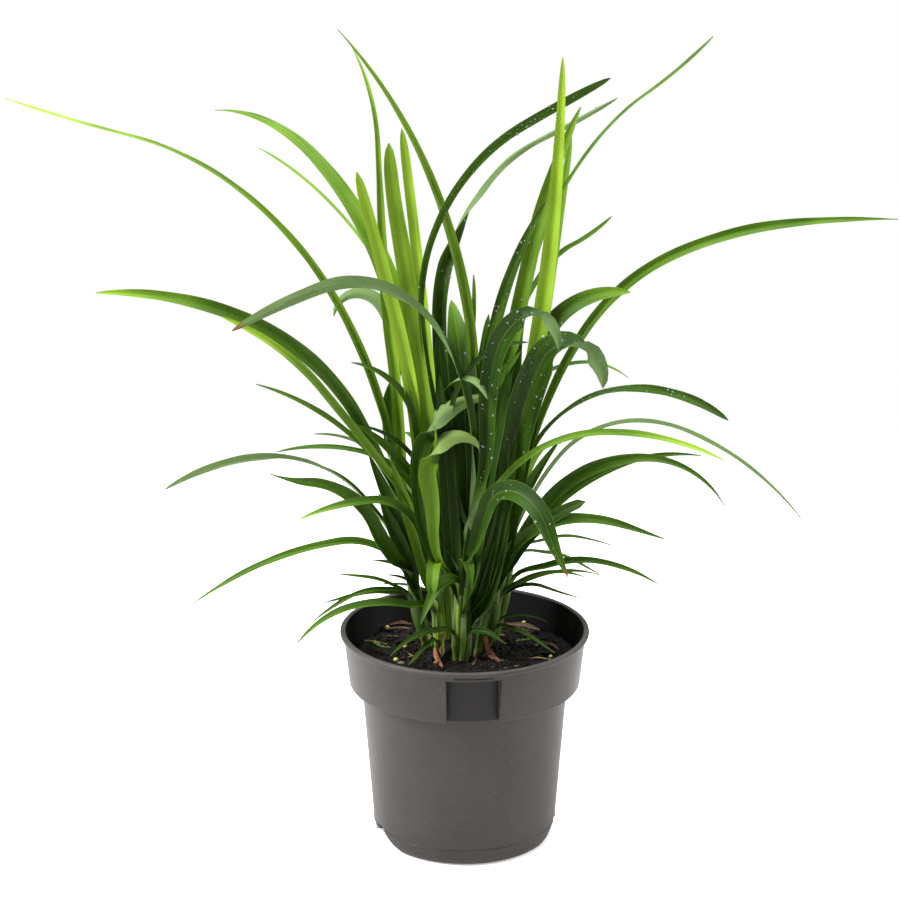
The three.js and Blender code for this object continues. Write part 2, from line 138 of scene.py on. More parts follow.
@dataclass(frozen=True)
class LeafCuticle(Finish):
    """Living strap leaf under a waxy cuticle.

    Fine veins run along it beside a slightly paler midrib, the underside is greyish, the folded base is
    pale, the oldest tips are brown, and light that falls through it comes out yellow green. It reads
    three attributes of the mesh: blade (mm across, mm along, leaf's own number), shade (across -1 to 1,
    along 0 to 1, underside 1) and tint (tone 0 old to 1 young, brown tip, pale tip). The fields that end
    in _tone say how far a pattern shifts the tone, and those that end in _light how strong a colour is.
    """

    name: str = "leaf_cuticle"
    tones: Tones = (
        (0.0, "#14260a"), (0.25, "#253f0e"), (0.5, "#486c18"), (0.75, "#6e9226"), (1.0, "#98bc36"))
    under_tones: Tones = ((0.0, "#526c40"), (0.5, "#708a52"), (1.0, "#9cb458"))
    sheath: str = "#566e26"
    young_sheath: str = "#b4cc5c"
    foot: str = "#7c7440"
    margin: str = "#8fae4a"
    brown: str = "#7d4a24"
    glow: str = "#a4cc28"
    vein_spacing: float = 0.95  # real veins stand half as far apart, which is too fine to show
    vein_tone: float = 0.028
    vein_depth: float = 0.14
    streaks_per_mm: tuple[float, float] = (1.3, 0.02)
    streak_tone: float = 0.34
    clouds_per_mm: tuple[float, float] = (0.12, 0.03)
    cloud_tone: float = 0.36
    tip_from: float = 0.72
    base_to: float = 0.34
    base_tone: float = 0.16
    rib_half: float = 0.07
    rib_light: float = 0.22
    rim_from: float = 0.93
    rim_light: float = 0.3
    sheath_heights: tuple[float, float] = (165.0, 115.0)
    sheath_light: float = 0.36
    foot_heights: tuple[float, float] = (118.0, 106.0)
    foot_light: float = 0.7
    dead_from: tuple[float, float] = (0.965, 0.99)
    gloss: float = 0.17
    glow_light: float = 0.5
    lets_through: float = 0.2

    def surface(self, tree: Tree) -> Socket:
        """Build the nodes.

        Args:
            tree: the material's node tree.

        Returns:
            The surface shader's output.
        """
        blade = add(tree, "ShaderNodeAttribute", attribute_name="blade", out=1)
        shade = add(tree, "ShaderNodeAttribute", attribute_name="shade", out=1)
        tint = add(tree, "ShaderNodeAttribute", attribute_name="tint", out=1)
        across = add(tree, "ShaderNodeSeparateXYZ", {0: shade})
        along, under = across.node.outputs[1], across.node.outputs[2]
        tone = add(tree, "ShaderNodeSeparateXYZ", {0: tint})
        browning, paling = tone.node.outputs[1], tone.node.outputs[2]
        beside = add(tree, "ShaderNodeMath", {0: across}, operation="ABSOLUTE")

        streaks = add(tree, "ShaderNodeMapping", {0: blade, "Scale": (*self.streaks_per_mm, 1.0)})
        streaks = add(tree, "ShaderNodeTexNoise", {"Vector": streaks, "Scale": 1.0, "Detail": 3.0})
        clouds = add(tree, "ShaderNodeMapping", {0: blade, "Scale": (*self.clouds_per_mm, 1.0)})
        clouds = add(tree, "ShaderNodeTexNoise", {"Vector": clouds, "Scale": 1.0, "Detail": 2.0})
        ridge = add(tree, "ShaderNodeSeparateXYZ", {0: blade})
        turn = math.tau / self.vein_spacing
        ridge = add(tree, "ShaderNodeMath", {0: ridge, 1: turn}, operation="MULTIPLY")
        ridge = add(tree, "ShaderNodeMath", {0: ridge}, operation="SINE")

        lively = add(tree, "ShaderNodeMath", {
            0: streaks, 1: self.streak_tone, 2: -self.streak_tone / 2}, operation="MULTIPLY_ADD")
        cloudy = add(tree, "ShaderNodeMath", {
            0: clouds, 1: self.cloud_tone, 2: -self.cloud_tone / 2}, operation="MULTIPLY_ADD")
        lively = add(tree, "ShaderNodeMath", {0: lively, 1: cloudy})
        veined = add(tree, "ShaderNodeMath", {
            0: ridge, 1: self.vein_tone, 2: lively}, operation="MULTIPLY_ADD")
        at_tip = add(tree, "ShaderNodeMapRange", {0: along, 1: self.tip_from, 2: 1.0})
        at_tip = add(tree, "ShaderNodeMath", {0: at_tip, 1: paling}, operation="MULTIPLY")
        at_base = add(tree, "ShaderNodeMapRange", {
            0: along, 1: self.base_to, 2: 0.02, 4: self.base_tone})
        young = tone
        for more in (veined, at_tip, at_base):
            young = add(tree, "ShaderNodeMath", {0: young, 1: more})

        upper = add(tree, "ShaderNodeValToRGB", {0: young}, stops=self.tones)
        lower = add(tree, "ShaderNodeValToRGB", {0: young}, stops=self.under_tones)
        rib = add(tree, "ShaderNodeMapRange", {
            0: beside, 1: 0.0, 2: self.rib_half, 3: self.rib_light, 4: 0.0})
        rim = add(tree, "ShaderNodeMapRange", {
            0: beside, 1: self.rim_from, 2: 1.0, 4: self.rim_light})
        for share in (rib, rim):
            upper = add(
                tree, "ShaderNodeMix", {0: share, 6: upper, 7: linear(self.margin)}, out=2, data_type="RGBA")
        clasping = add(tree, "ShaderNodeMapRange", {0: along, 1: 0.0, 2: 0.06, 3: 0.15, 4: 1.0})
        bloomed = add(tree, "ShaderNodeMath", {0: under, 1: clasping}, operation="MULTIPLY")
        colour = add(tree, "ShaderNodeMix", {0: bloomed, 6: upper, 7: lower}, out=2, data_type="RGBA")

        height = add(tree, "ShaderNodeSeparateXYZ", {0: add(tree, "ShaderNodeTexCoord", out=3)}, out=2)
        high, low = (h * MM for h in self.sheath_heights)
        pale = add(tree, "ShaderNodeMapRange", {0: height, 1: high, 2: low, 4: self.sheath_light})
        sheathed = add(tree, "ShaderNodeMapRange", {0: along, 1: 0.1, 2: -0.1, 4: 1.0})
        pale = add(tree, "ShaderNodeMath", {0: pale, 1: sheathed}, operation="MULTIPLY")
        pale = add(tree, "ShaderNodeMath", {0: pale, 1: streaks}, operation="MULTIPLY")
        pale = add(tree, "ShaderNodeMath", {0: pale, 1: 2.0}, operation="MULTIPLY", use_clamp=True)
        young = add(tree, "ShaderNodeMapRange", {0: tone, 1: 0.5, 2: 0.9})
        sheath = add(tree, "ShaderNodeMix", {
            0: young, 6: linear(self.sheath), 7: linear(self.young_sheath)}, out=2, data_type="RGBA")
        high, low = (h * MM for h in self.foot_heights)
        foot = add(tree, "ShaderNodeMapRange", {0: height, 1: high, 2: low, 4: self.foot_light})
        foot = add(tree, "ShaderNodeMath", {0: foot, 1: streaks}, operation="MULTIPLY", use_clamp=True)
        first, last = self.dead_from
        dead = add(tree, "ShaderNodeMapRange", {0: along, 1: first, 2: last})
        dead = add(tree, "ShaderNodeMath", {0: dead, 1: browning}, operation="MULTIPLY")
        for share, over in ((pale, sheath), (foot, linear(self.foot)), (dead, linear(self.brown))):
            colour = add(tree, "ShaderNodeMix", {0: share, 6: colour, 7: over}, out=2, data_type="RGBA")

        rough = add(tree, "ShaderNodeMath", {0: under, 1: 0.14, 2: 0.34}, operation="MULTIPLY_ADD")
        rough = add(tree, "ShaderNodeMath", {0: streaks, 1: 0.16, 2: rough}, operation="MULTIPLY_ADD")
        relief = add(tree, "ShaderNodeMath", {0: ridge, 1: 0.5, 2: streaks}, operation="MULTIPLY_ADD")
        bump = add(tree, "ShaderNodeBump", {
            "Height": relief, "Strength": 0.4, "Distance": self.vein_depth * MM})
        lit = add(tree, "ShaderNodeBsdfPrincipled", {
            "Base Color": colour, "Roughness": rough, "IOR": 1.4, "Specular IOR Level": self.gloss,
            "Normal": bump})
        through = add(tree, "ShaderNodeMix", {
            0: self.glow_light, 6: colour, 7: linear(self.glow)}, out=2, data_type="RGBA")
        through = add(tree, "ShaderNodeBsdfTranslucent", {"Color": through})
        return add(tree, "ShaderNodeMixShader", {0: self.lets_through, 1: lit, 2: through})


@dataclass(frozen=True)
class ShootSkin(Finish):
    """Fleshy base of a leaf fan: smooth, ribbed lengthwise, straw brown at its foot and greener above."""

    name: str = "shoot_skin"
    rib_spacing: float = 0.9
    rib_depth: float = 0.2
    rib_tone: float = 0.4
    heights: tuple[float, float] = (106.0, 165.0)
    tones: Tones = (
        (0.0, "#6f5a30"), (0.12, "#9aa052"), (0.4, "#6f8c38"), (1.0, "#4a741f"))

    def surface(self, tree: Tree) -> Socket:
        """Build the nodes.

        Args:
            tree: the material's node tree.

        Returns:
            The surface shader's output.
        """
        place = add(tree, "ShaderNodeTexCoord", out=3)
        low, high = (h * MM for h in self.heights)
        rise = add(tree, "ShaderNodeSeparateXYZ", {0: place}, out=2)
        rise = add(tree, "ShaderNodeMapRange", {0: rise, 1: low, 2: high})
        fibre = add(tree, "ShaderNodeMapping", {0: place, "Scale": (1.0, 1.0, 0.03)})
        fibre = add(tree, "ShaderNodeTexNoise", {
            "Vector": fibre, "Scale": 1 / (self.rib_spacing * MM), "Detail": 3.0})
        rise = add(tree, "ShaderNodeMath", {0: fibre, 1: self.rib_tone, 2: rise}, operation="MULTIPLY_ADD")
        rise = add(tree, "ShaderNodeMath", {0: rise, 1: self.rib_tone / 2}, operation="SUBTRACT")
        colour = add(tree, "ShaderNodeValToRGB", {0: rise}, stops=self.tones)
        bump = add(tree, "ShaderNodeBump", {
            "Height": fibre, "Strength": 0.4, "Distance": self.rib_depth * MM})
        lit = add(tree, "ShaderNodeBsdfPrincipled", {
            "Base Color": colour, "Roughness": 0.42, "IOR": 1.42, "Normal": bump})
        through = add(tree, "ShaderNodeBsdfTranslucent", {"Color": colour})
        return add(tree, "ShaderNodeMixShader", {0: 0.15, 1: lit, 2: through})


@dataclass(frozen=True)
class PotPlastic(Finish):
    """Recycled polypropylene, injection moulded: warm dark grey with a satin grain that softens highlights.

    It is a little cloudy, dusty in fine flecks, scuffed pale along the lip and stained brown at the foot, and
    shade is painted on its inner wall and in its label recess.
    """

    name: str = "moulded_polypropylene"
    body: str = "#2f2b28"
    cloudy: str = "#383330"
    dust: str = "#534e48"
    worn: str = "#7d7974"
    soil: str = "#332a22"
    shaded: str = "#0d0c0c"
    cloud_size: float = 34.0
    grain_size: float = 0.5  # the real spark-eroded grain is half as coarse
    fleck_size: float = 1.1
    scuff_size: float = 5.0
    lip: tuple[float, float] = (122.8, 124.6)
    foot: tuple[float, float] = (1.0, 16.0)
    dust_share: float = 0.35
    scuff_share: float = 0.3
    wear_share: float = 0.4
    soil_share: float = 0.6
    shade_share: float = 0.85
    grain_depth: float = 0.06
    gloss: float = 0.22

    def surface(self, tree: Tree) -> Socket:
        """Build the nodes.

        Args:
            tree: the material's node tree.

        Returns:
            The surface shader's output.
        """
        place = add(tree, "ShaderNodeTexCoord", out=3)
        height = add(tree, "ShaderNodeSeparateXYZ", {0: place}, out=2)
        cloud = add(tree, "ShaderNodeTexNoise", {
            "Vector": place, "Scale": 1 / (self.cloud_size * MM), "Detail": 4.0, "Roughness": 0.6})
        clouded = add(tree, "ShaderNodeMapRange", {0: cloud, 1: 0.35, 2: 0.7})
        fleck = add(tree, "ShaderNodeTexNoise", {
            "Vector": place, "Scale": 1 / (self.fleck_size * MM), "Detail": 2.0})
        fleck = add(tree, "ShaderNodeMapRange", {0: fleck, 1: 0.66, 2: 0.76, 4: self.dust_share})
        scuff = add(tree, "ShaderNodeMapping", {0: place, "Scale": (1.0, 1.0, 9.0)})
        scuff = add(tree, "ShaderNodeTexNoise", {
            "Vector": scuff, "Scale": 1 / (self.scuff_size * MM), "Detail": 3.0, "Distortion": 0.4})
        scuff = add(tree, "ShaderNodeMapRange", {0: scuff, 1: 0.68, 2: 0.74, 4: self.scuff_share})
        low, high = (h * MM for h in self.lip)
        wear = add(tree, "ShaderNodeMapRange", {0: height, 1: low, 2: high, 4: self.wear_share})
        wear = add(tree, "ShaderNodeMath", {0: wear, 1: cloud}, operation="MULTIPLY")
        low, high = (h * MM for h in self.foot)
        stain = add(tree, "ShaderNodeMapRange", {0: height, 1: high, 2: low, 4: self.soil_share})
        stain = add(tree, "ShaderNodeMath", {0: stain, 1: cloud}, operation="MULTIPLY")
        # painted shade: the attribute inside mixes the inner wall and the label recess towards the near-black
        # shaded
        inside = add(tree, "ShaderNodeAttribute", attribute_name="inside", out=1)
        inside = add(tree, "ShaderNodeSeparateXYZ", {0: inside})
        inside = add(
            tree, "ShaderNodeMath", {0: inside, 1: self.shade_share}, operation="MULTIPLY", use_clamp=True)
        colour = linear(self.body)
        for share, over in (
            (clouded, self.cloudy), (fleck, self.dust), (scuff, self.worn), (wear, self.worn),
            (stain, self.soil), (inside, self.shaded),
        ):
            colour = add(
                tree, "ShaderNodeMix", {0: share, 6: colour, 7: linear(over)}, out=2, data_type="RGBA")
        grain = add(tree, "ShaderNodeTexNoise", {
            "Vector": place, "Scale": 1 / (self.grain_size * MM), "Detail": 2.0})
        rough = add(tree, "ShaderNodeMath", {0: cloud, 1: 0.16, 2: 0.36}, operation="MULTIPLY_ADD")
        rough = add(tree, "ShaderNodeMath", {0: fleck, 1: 0.5, 2: rough}, operation="MULTIPLY_ADD")
        bump = add(tree, "ShaderNodeBump", {
            "Height": grain, "Strength": 0.2, "Distance": self.grain_depth * MM})
        return add(tree, "ShaderNodeBsdfPrincipled", {
            "Base Color": colour, "Roughness": rough, "IOR": 1.49, "Specular IOR Level": self.gloss,
            "Normal": bump})


@dataclass(frozen=True)
class Compost(Finish):
    """Composted bark or its chips, moist: nearly black with brown faces and small wet glints.

    Where the mesh has the attribute chip, a random number for each chip, it sets how brown that chip is.
    """

    name: str = "composted_bark"
    grain_size: float = 1.6
    grain_depth: float = 0.8
    damp_size: float = 7.0
    gloss: float = 0.2
    tones: Tones = (
        (0.0, "#050403"), (0.5, "#0f0b08"), (0.8, "#1d1510"), (0.95, "#34261b"), (1.0, "#4d3a28"))
    lively: float = 0.0

    def surface(self, tree: Tree) -> Socket:
        """Build the nodes.

        Args:
            tree: the material's node tree.

        Returns:
            The surface shader's output.
        """
        place = add(tree, "ShaderNodeTexCoord", out=3)
        chip = add(tree, "ShaderNodeAttribute", attribute_name="chip", out=2)
        grain = add(tree, "ShaderNodeTexNoise", {
            "Vector": place, "Scale": 1 / (self.grain_size * MM), "Detail": 5.0, "Roughness": 0.65})
        tone = add(tree, "ShaderNodeMath", {0: chip, 1: self.lively, 2: grain}, operation="MULTIPLY_ADD")
        tone = add(tree, "ShaderNodeMapRange", {0: tone, 1: 0.3, 2: 0.75 + self.lively})
        colour = add(tree, "ShaderNodeValToRGB", {0: tone}, stops=self.tones)
        damp = add(tree, "ShaderNodeTexNoise", {
            "Vector": place, "Scale": 1 / (self.damp_size * MM), "Detail": 2.0})
        damp = add(tree, "ShaderNodeMapRange", {0: damp, 1: 0.35, 2: 0.65, 3: 0.42, 4: 0.9})
        bump = add(tree, "ShaderNodeBump", {
            "Height": grain, "Strength": 0.7, "Distance": self.grain_depth * MM})
        return add(tree, "ShaderNodeBsdfPrincipled", {
            "Base Color": colour, "Roughness": damp, "Specular IOR Level": self.gloss, "Normal": bump})


@dataclass(frozen=True)
class Plain(Finish):
    """A small piece of one natural stuff, such as straw, resin or moss, with grain in colour and relief."""

    name: str
    dark: str
    light: str
    grain_size: float
    roughness: float
    relief: float = 0.2

    def surface(self, tree: Tree) -> Socket:
        """Build the nodes.

        Args:
            tree: the material's node tree.

        Returns:
            The surface shader's output.
        """
        place = add(tree, "ShaderNodeTexCoord", out=3)
        grain = add(tree, "ShaderNodeTexNoise", {
            "Vector": place, "Scale": 1 / (self.grain_size * MM), "Detail": 4.0})
        share = add(tree, "ShaderNodeMapRange", {0: grain, 1: 0.35, 2: 0.65})
        colour = add(tree, "ShaderNodeMix", {
            0: share, 6: linear(self.dark), 7: linear(self.light)}, out=2, data_type="RGBA")
        bump = add(tree, "ShaderNodeBump", {"Height": grain, "Strength": 0.6, "Distance": self.relief * MM})
        return add(tree, "ShaderNodeBsdfPrincipled", {
            "Base Color": colour, "Roughness": self.roughness, "Normal": bump})


@dataclass(frozen=True)
class Water(Finish):
    """Clear water in drops: it bends what is under it and catches a bright point of each light."""

    name: str = "water_drops"

    def surface(self, tree: Tree) -> Socket:
        """Build the nodes and return the surface shader's output."""
        return add(tree, "ShaderNodeBsdfPrincipled", {
            "Base Color": linear("#f4f8f6"), "Roughness": 0.03, "IOR": 1.333, "Transmission Weight": 0.85})


def polar(radius: float, bearing: float, height: float = 0.0) -> Array:
    """Return the point at a radius and a bearing in degrees, at a height."""
    angle = math.radians(bearing)
    return np.array([radius * math.cos(angle), radius * math.sin(angle), height])


def smoothstep(value: float, low: float, high: float) -> float:
    """Return 0 below low, 1 above high and a smooth rise between them."""
    share = min(1.0, max(0.0, (value - low) / (high - low)))
    return share * share * (3 - 2 * share)


def between(values: Sequence[float], share: float) -> float:
    """Return the value at a share of the way through values given at equal steps."""
    return float(np.interp(share * (len(values) - 1), range(len(values)), values))


def turned(vector: Array, axis: Array, angle: float) -> Array:
    """Return a vector turned about a unit axis by an angle in radians."""
    cosine, sine = math.cos(angle), math.sin(angle)
    return vector * cosine + np.cross(axis, vector) * sine + axis * (axis @ vector) * (1 - cosine)


def tube_faces(rings: int, sides: int) -> list[Face]:
    """List the faces of a closed tube of rings, with an n-gon at each end.

    Args:
        rings: how many rings of points the tube has.
        sides: how many points a ring has.

    Returns:
        Faces that point outwards where the rings turn left about their own direction.
    """
    faces: list[Face] = []
    for i in range(rings - 1):
        for k in range(sides):
            a = i * sides + k
            b = i * sides + (k + 1) % sides
            faces.append((a, b, b + sides, a + sides))
    faces.append(tuple(reversed(range(sides))))
    faces.append(tuple(range((rings - 1) * sides, rings * sides)))
    return faces


def joined(parts: Iterable[Part]) -> Part:
    """Join parts into one.

    Args:
        parts: points and faces of each part.

    Returns:
        The points and faces of all of them, in their order.
    """
    points: list[Array] = []
    faces: list[Face] = []
    for made, shown in parts:
        faces += [tuple(i + len(points) for i in face) for face in shown]
        points += made
    return points, faces


def mark(mesh: bpy.types.Mesh, name: str, values: Sequence[Sequence[float]] | Array) -> None:
    """Store three numbers for each point of a mesh as a named attribute."""
    layer = mesh.attributes.new(name, "FLOAT_VECTOR", "POINT")
    layer.data.foreach_set("vector", np.asarray(values, np.float32).ravel())


def mesh_of(
    name: str,
    points: Sequence[Array] | Array,
    faces: Sequence[Face],
    marks: dict[str, Array] | None = None,
    sharp: float = 50.0,
) -> bpy.types.Mesh:
    """Make a smooth-shaded mesh.

    Args:
        name: the mesh's name.
        points: its points in millimetres.
        faces: its faces, pointing outwards.
        marks: attributes of the points, three numbers each.
        sharp: the angle in degrees from which an edge stays sharp.

    Returns:
        The mesh, in metres.
    """
    mesh = bpy.data.meshes.new(name)
    mesh.from_pydata((np.asarray(points) * MM).tolist(), [], faces)
    for label, values in (marks or {}).items():
        mark(mesh, label, values)
    mesh.shade_smooth()
    mesh.set_sharp_from_angle(angle=math.radians(sharp))
    return mesh


def placed(name: str, data: bpy.types.ID) -> bpy.types.Object:
    """Put a new object in the scene, at the origin.

    Args:
        name: the object's name.
        data: the mesh, light or camera that it shows.

    Returns:
        The object.
    """
    made = bpy.data.objects.new(name, data)
    bpy.context.scene.collection.objects.link(made)
    return made


def piece(
    mesh: bpy.types.Mesh, finish: Finish, replaces: Sequence[str] = ()
) -> bpy.types.Object:
    """Show a mesh as a piece of the object.

    Args:
        mesh: the finished mesh, in metres; its name becomes the piece's.
        finish: what it is made of.
        replaces: the frame's nodes that it stands for.

    Returns:
        The piece's object.
    """
    mesh.materials.clear()
    mesh.materials.append(finish.material())
    made = placed(mesh.name, mesh)
    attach(made, BODY)
    if replaces:
        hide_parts(*replaces)
    LOG.info("%s: %d faces, %s", made.name, len(mesh.polygons), finish.name)
    return made


def after_modifiers(made: bpy.types.Object) -> bpy.types.Mesh:
    """Return an object's mesh as its modifiers leave it, as a plain mesh."""
    seen = made.evaluated_get(bpy.context.evaluated_depsgraph_get())
    return bpy.data.meshes.new_from_object(seen)


def grown(name: str, host: bpy.types.Mesh, tree: Tree, values: dict[str, Any]) -> bpy.types.Mesh:
    """Run a Geometry Nodes tree on a mesh.

    Args:
        name: the name of the new mesh.
        host: the mesh that the tree works on.
        tree: the tree.
        values: a value for each named input of the tree.

    Returns:
        The result as a plain mesh.
    """
    made = placed(name, host)
    modifier = made.modifiers.new("grow", "NODES")
    modifier.node_group = tree
    for item in tree.interface.items_tree:
        if item.name in values:
            modifier[item.identifier] = values[item.name]
    mesh = after_modifiers(made)
    bpy.data.objects.remove(made)
    mesh.name = name
    return mesh


def new_tree(
    name: str, numbers: Sequence[str], wholes: Sequence[str]
) -> tuple[Tree, Socket, dict[str, Socket]]:
    """Start a Geometry Nodes tree.

    Args:
        name: the tree's name.
        numbers: names of its inputs.
        wholes: names of its inputs that are whole numbers.

    Returns:
        The tree, its geometry input and its other inputs by name.
    """
    tree = bpy.data.node_groups.new(name, "GeometryNodeTree")
    tree.interface.new_socket("Geometry", in_out="INPUT", socket_type="NodeSocketGeometry")
    for names, kind in ((numbers, "NodeSocketFloat"), (wholes, "NodeSocketInt")):
        for number in names:
            tree.interface.new_socket(number, in_out="INPUT", socket_type=kind)
    tree.interface.new_socket("Geometry", in_out="OUTPUT", socket_type="NodeSocketGeometry")
    entry = tree.nodes.new("NodeGroupInput")
    return tree, entry.outputs[0], {number: entry.outputs[number] for number in (*numbers, *wholes)}


class Tip(Enum):
    """How a leaf's tip has aged, with its brown and pale shares."""

    GREEN = (0.0, 0.0)
    PALE = (0.0, 0.5)
    BROWN = (1.0, 0.15)


@dataclass(frozen=True)
class Leaf:
    """A strap leaf.

    start is the height at which it leaves its shoot, and bearing is where it grows to. At equal steps from
    base to tip, widths gives how wide it is, leans its angles from upright, and facing how far it rolls
    about its midrib to show its upper face to the front, or its underside where that is negative. It
    starts on the side of the shoot that it grows to, or else on the side given, and it closes to a tip
    over the length point. tone runs from 0, old and dark, to 1, young and lime. wet is how thickly drops
    lie on it.
    """

    start: float
    length: float
    widths: tuple[float, ...]
    bearing: float
    leans: tuple[float, ...]
    tone: float = 0.45
    facing: tuple[float, ...] = (0.0,)
    twist: float = 0.0
    side: float | None = None
    point: float = 30.0
    tip: Tip = Tip.GREEN
    wet: float = 0.0


@dataclass(frozen=True)
class Shoot:
    """A fan's stem: its foot on the mix, its lean, top and section, and the leaves that grow from it.

    leaves are those that the frame has a node for, and others are the small, low or hidden ones that it
    has none for. youth is the least tone that the folded bases of its leaves have.
    """

    name: str
    foot: tuple[float, float]
    bearing: float
    lean: float
    top: float
    width: float
    thickness: float
    leaves: tuple[Leaf, ...]
    others: tuple[Leaf, ...]
    level: float = 106.0
    depth: float = 12.0
    tip_scale: float = 0.3
    youth: float = 0.0

    def point(self, height: float) -> Array:
        """Find the point of the stem's axis at a height.

        Args:
            height: a height above the floor.

        Returns:
            The point.
        """
        rise = height - self.level
        offset = polar(rise * math.tan(math.radians(self.lean)), self.bearing, height)
        return offset + np.array([*self.foot, 0.0])

    def direction(self) -> Array:
        """Return the unit direction that the stem grows in."""
        lean = math.radians(self.lean)
        return polar(math.sin(lean), self.bearing, math.cos(lean))

    def scale(self, height: float) -> float:
        """Return how much of its full section the stem still has at a height."""
        rise = max(0.0, height - self.level) / (self.top - self.level)
        return 1 + (self.tip_scale - 1) * rise * math.sqrt(rise)

    def radius(self, height: float, bearing: float) -> float:
        """Find how far the stem's skin is from its axis.

        Args:
            height: a height above the floor.
            bearing: the direction out from the axis.

        Returns:
            The distance.
        """
        turn = math.radians(bearing - self.bearing)
        scale = self.scale(height)
        return 1 / math.hypot(
            math.cos(turn) / (self.width / 2 * scale), math.sin(turn) / (self.thickness / 2 * scale))


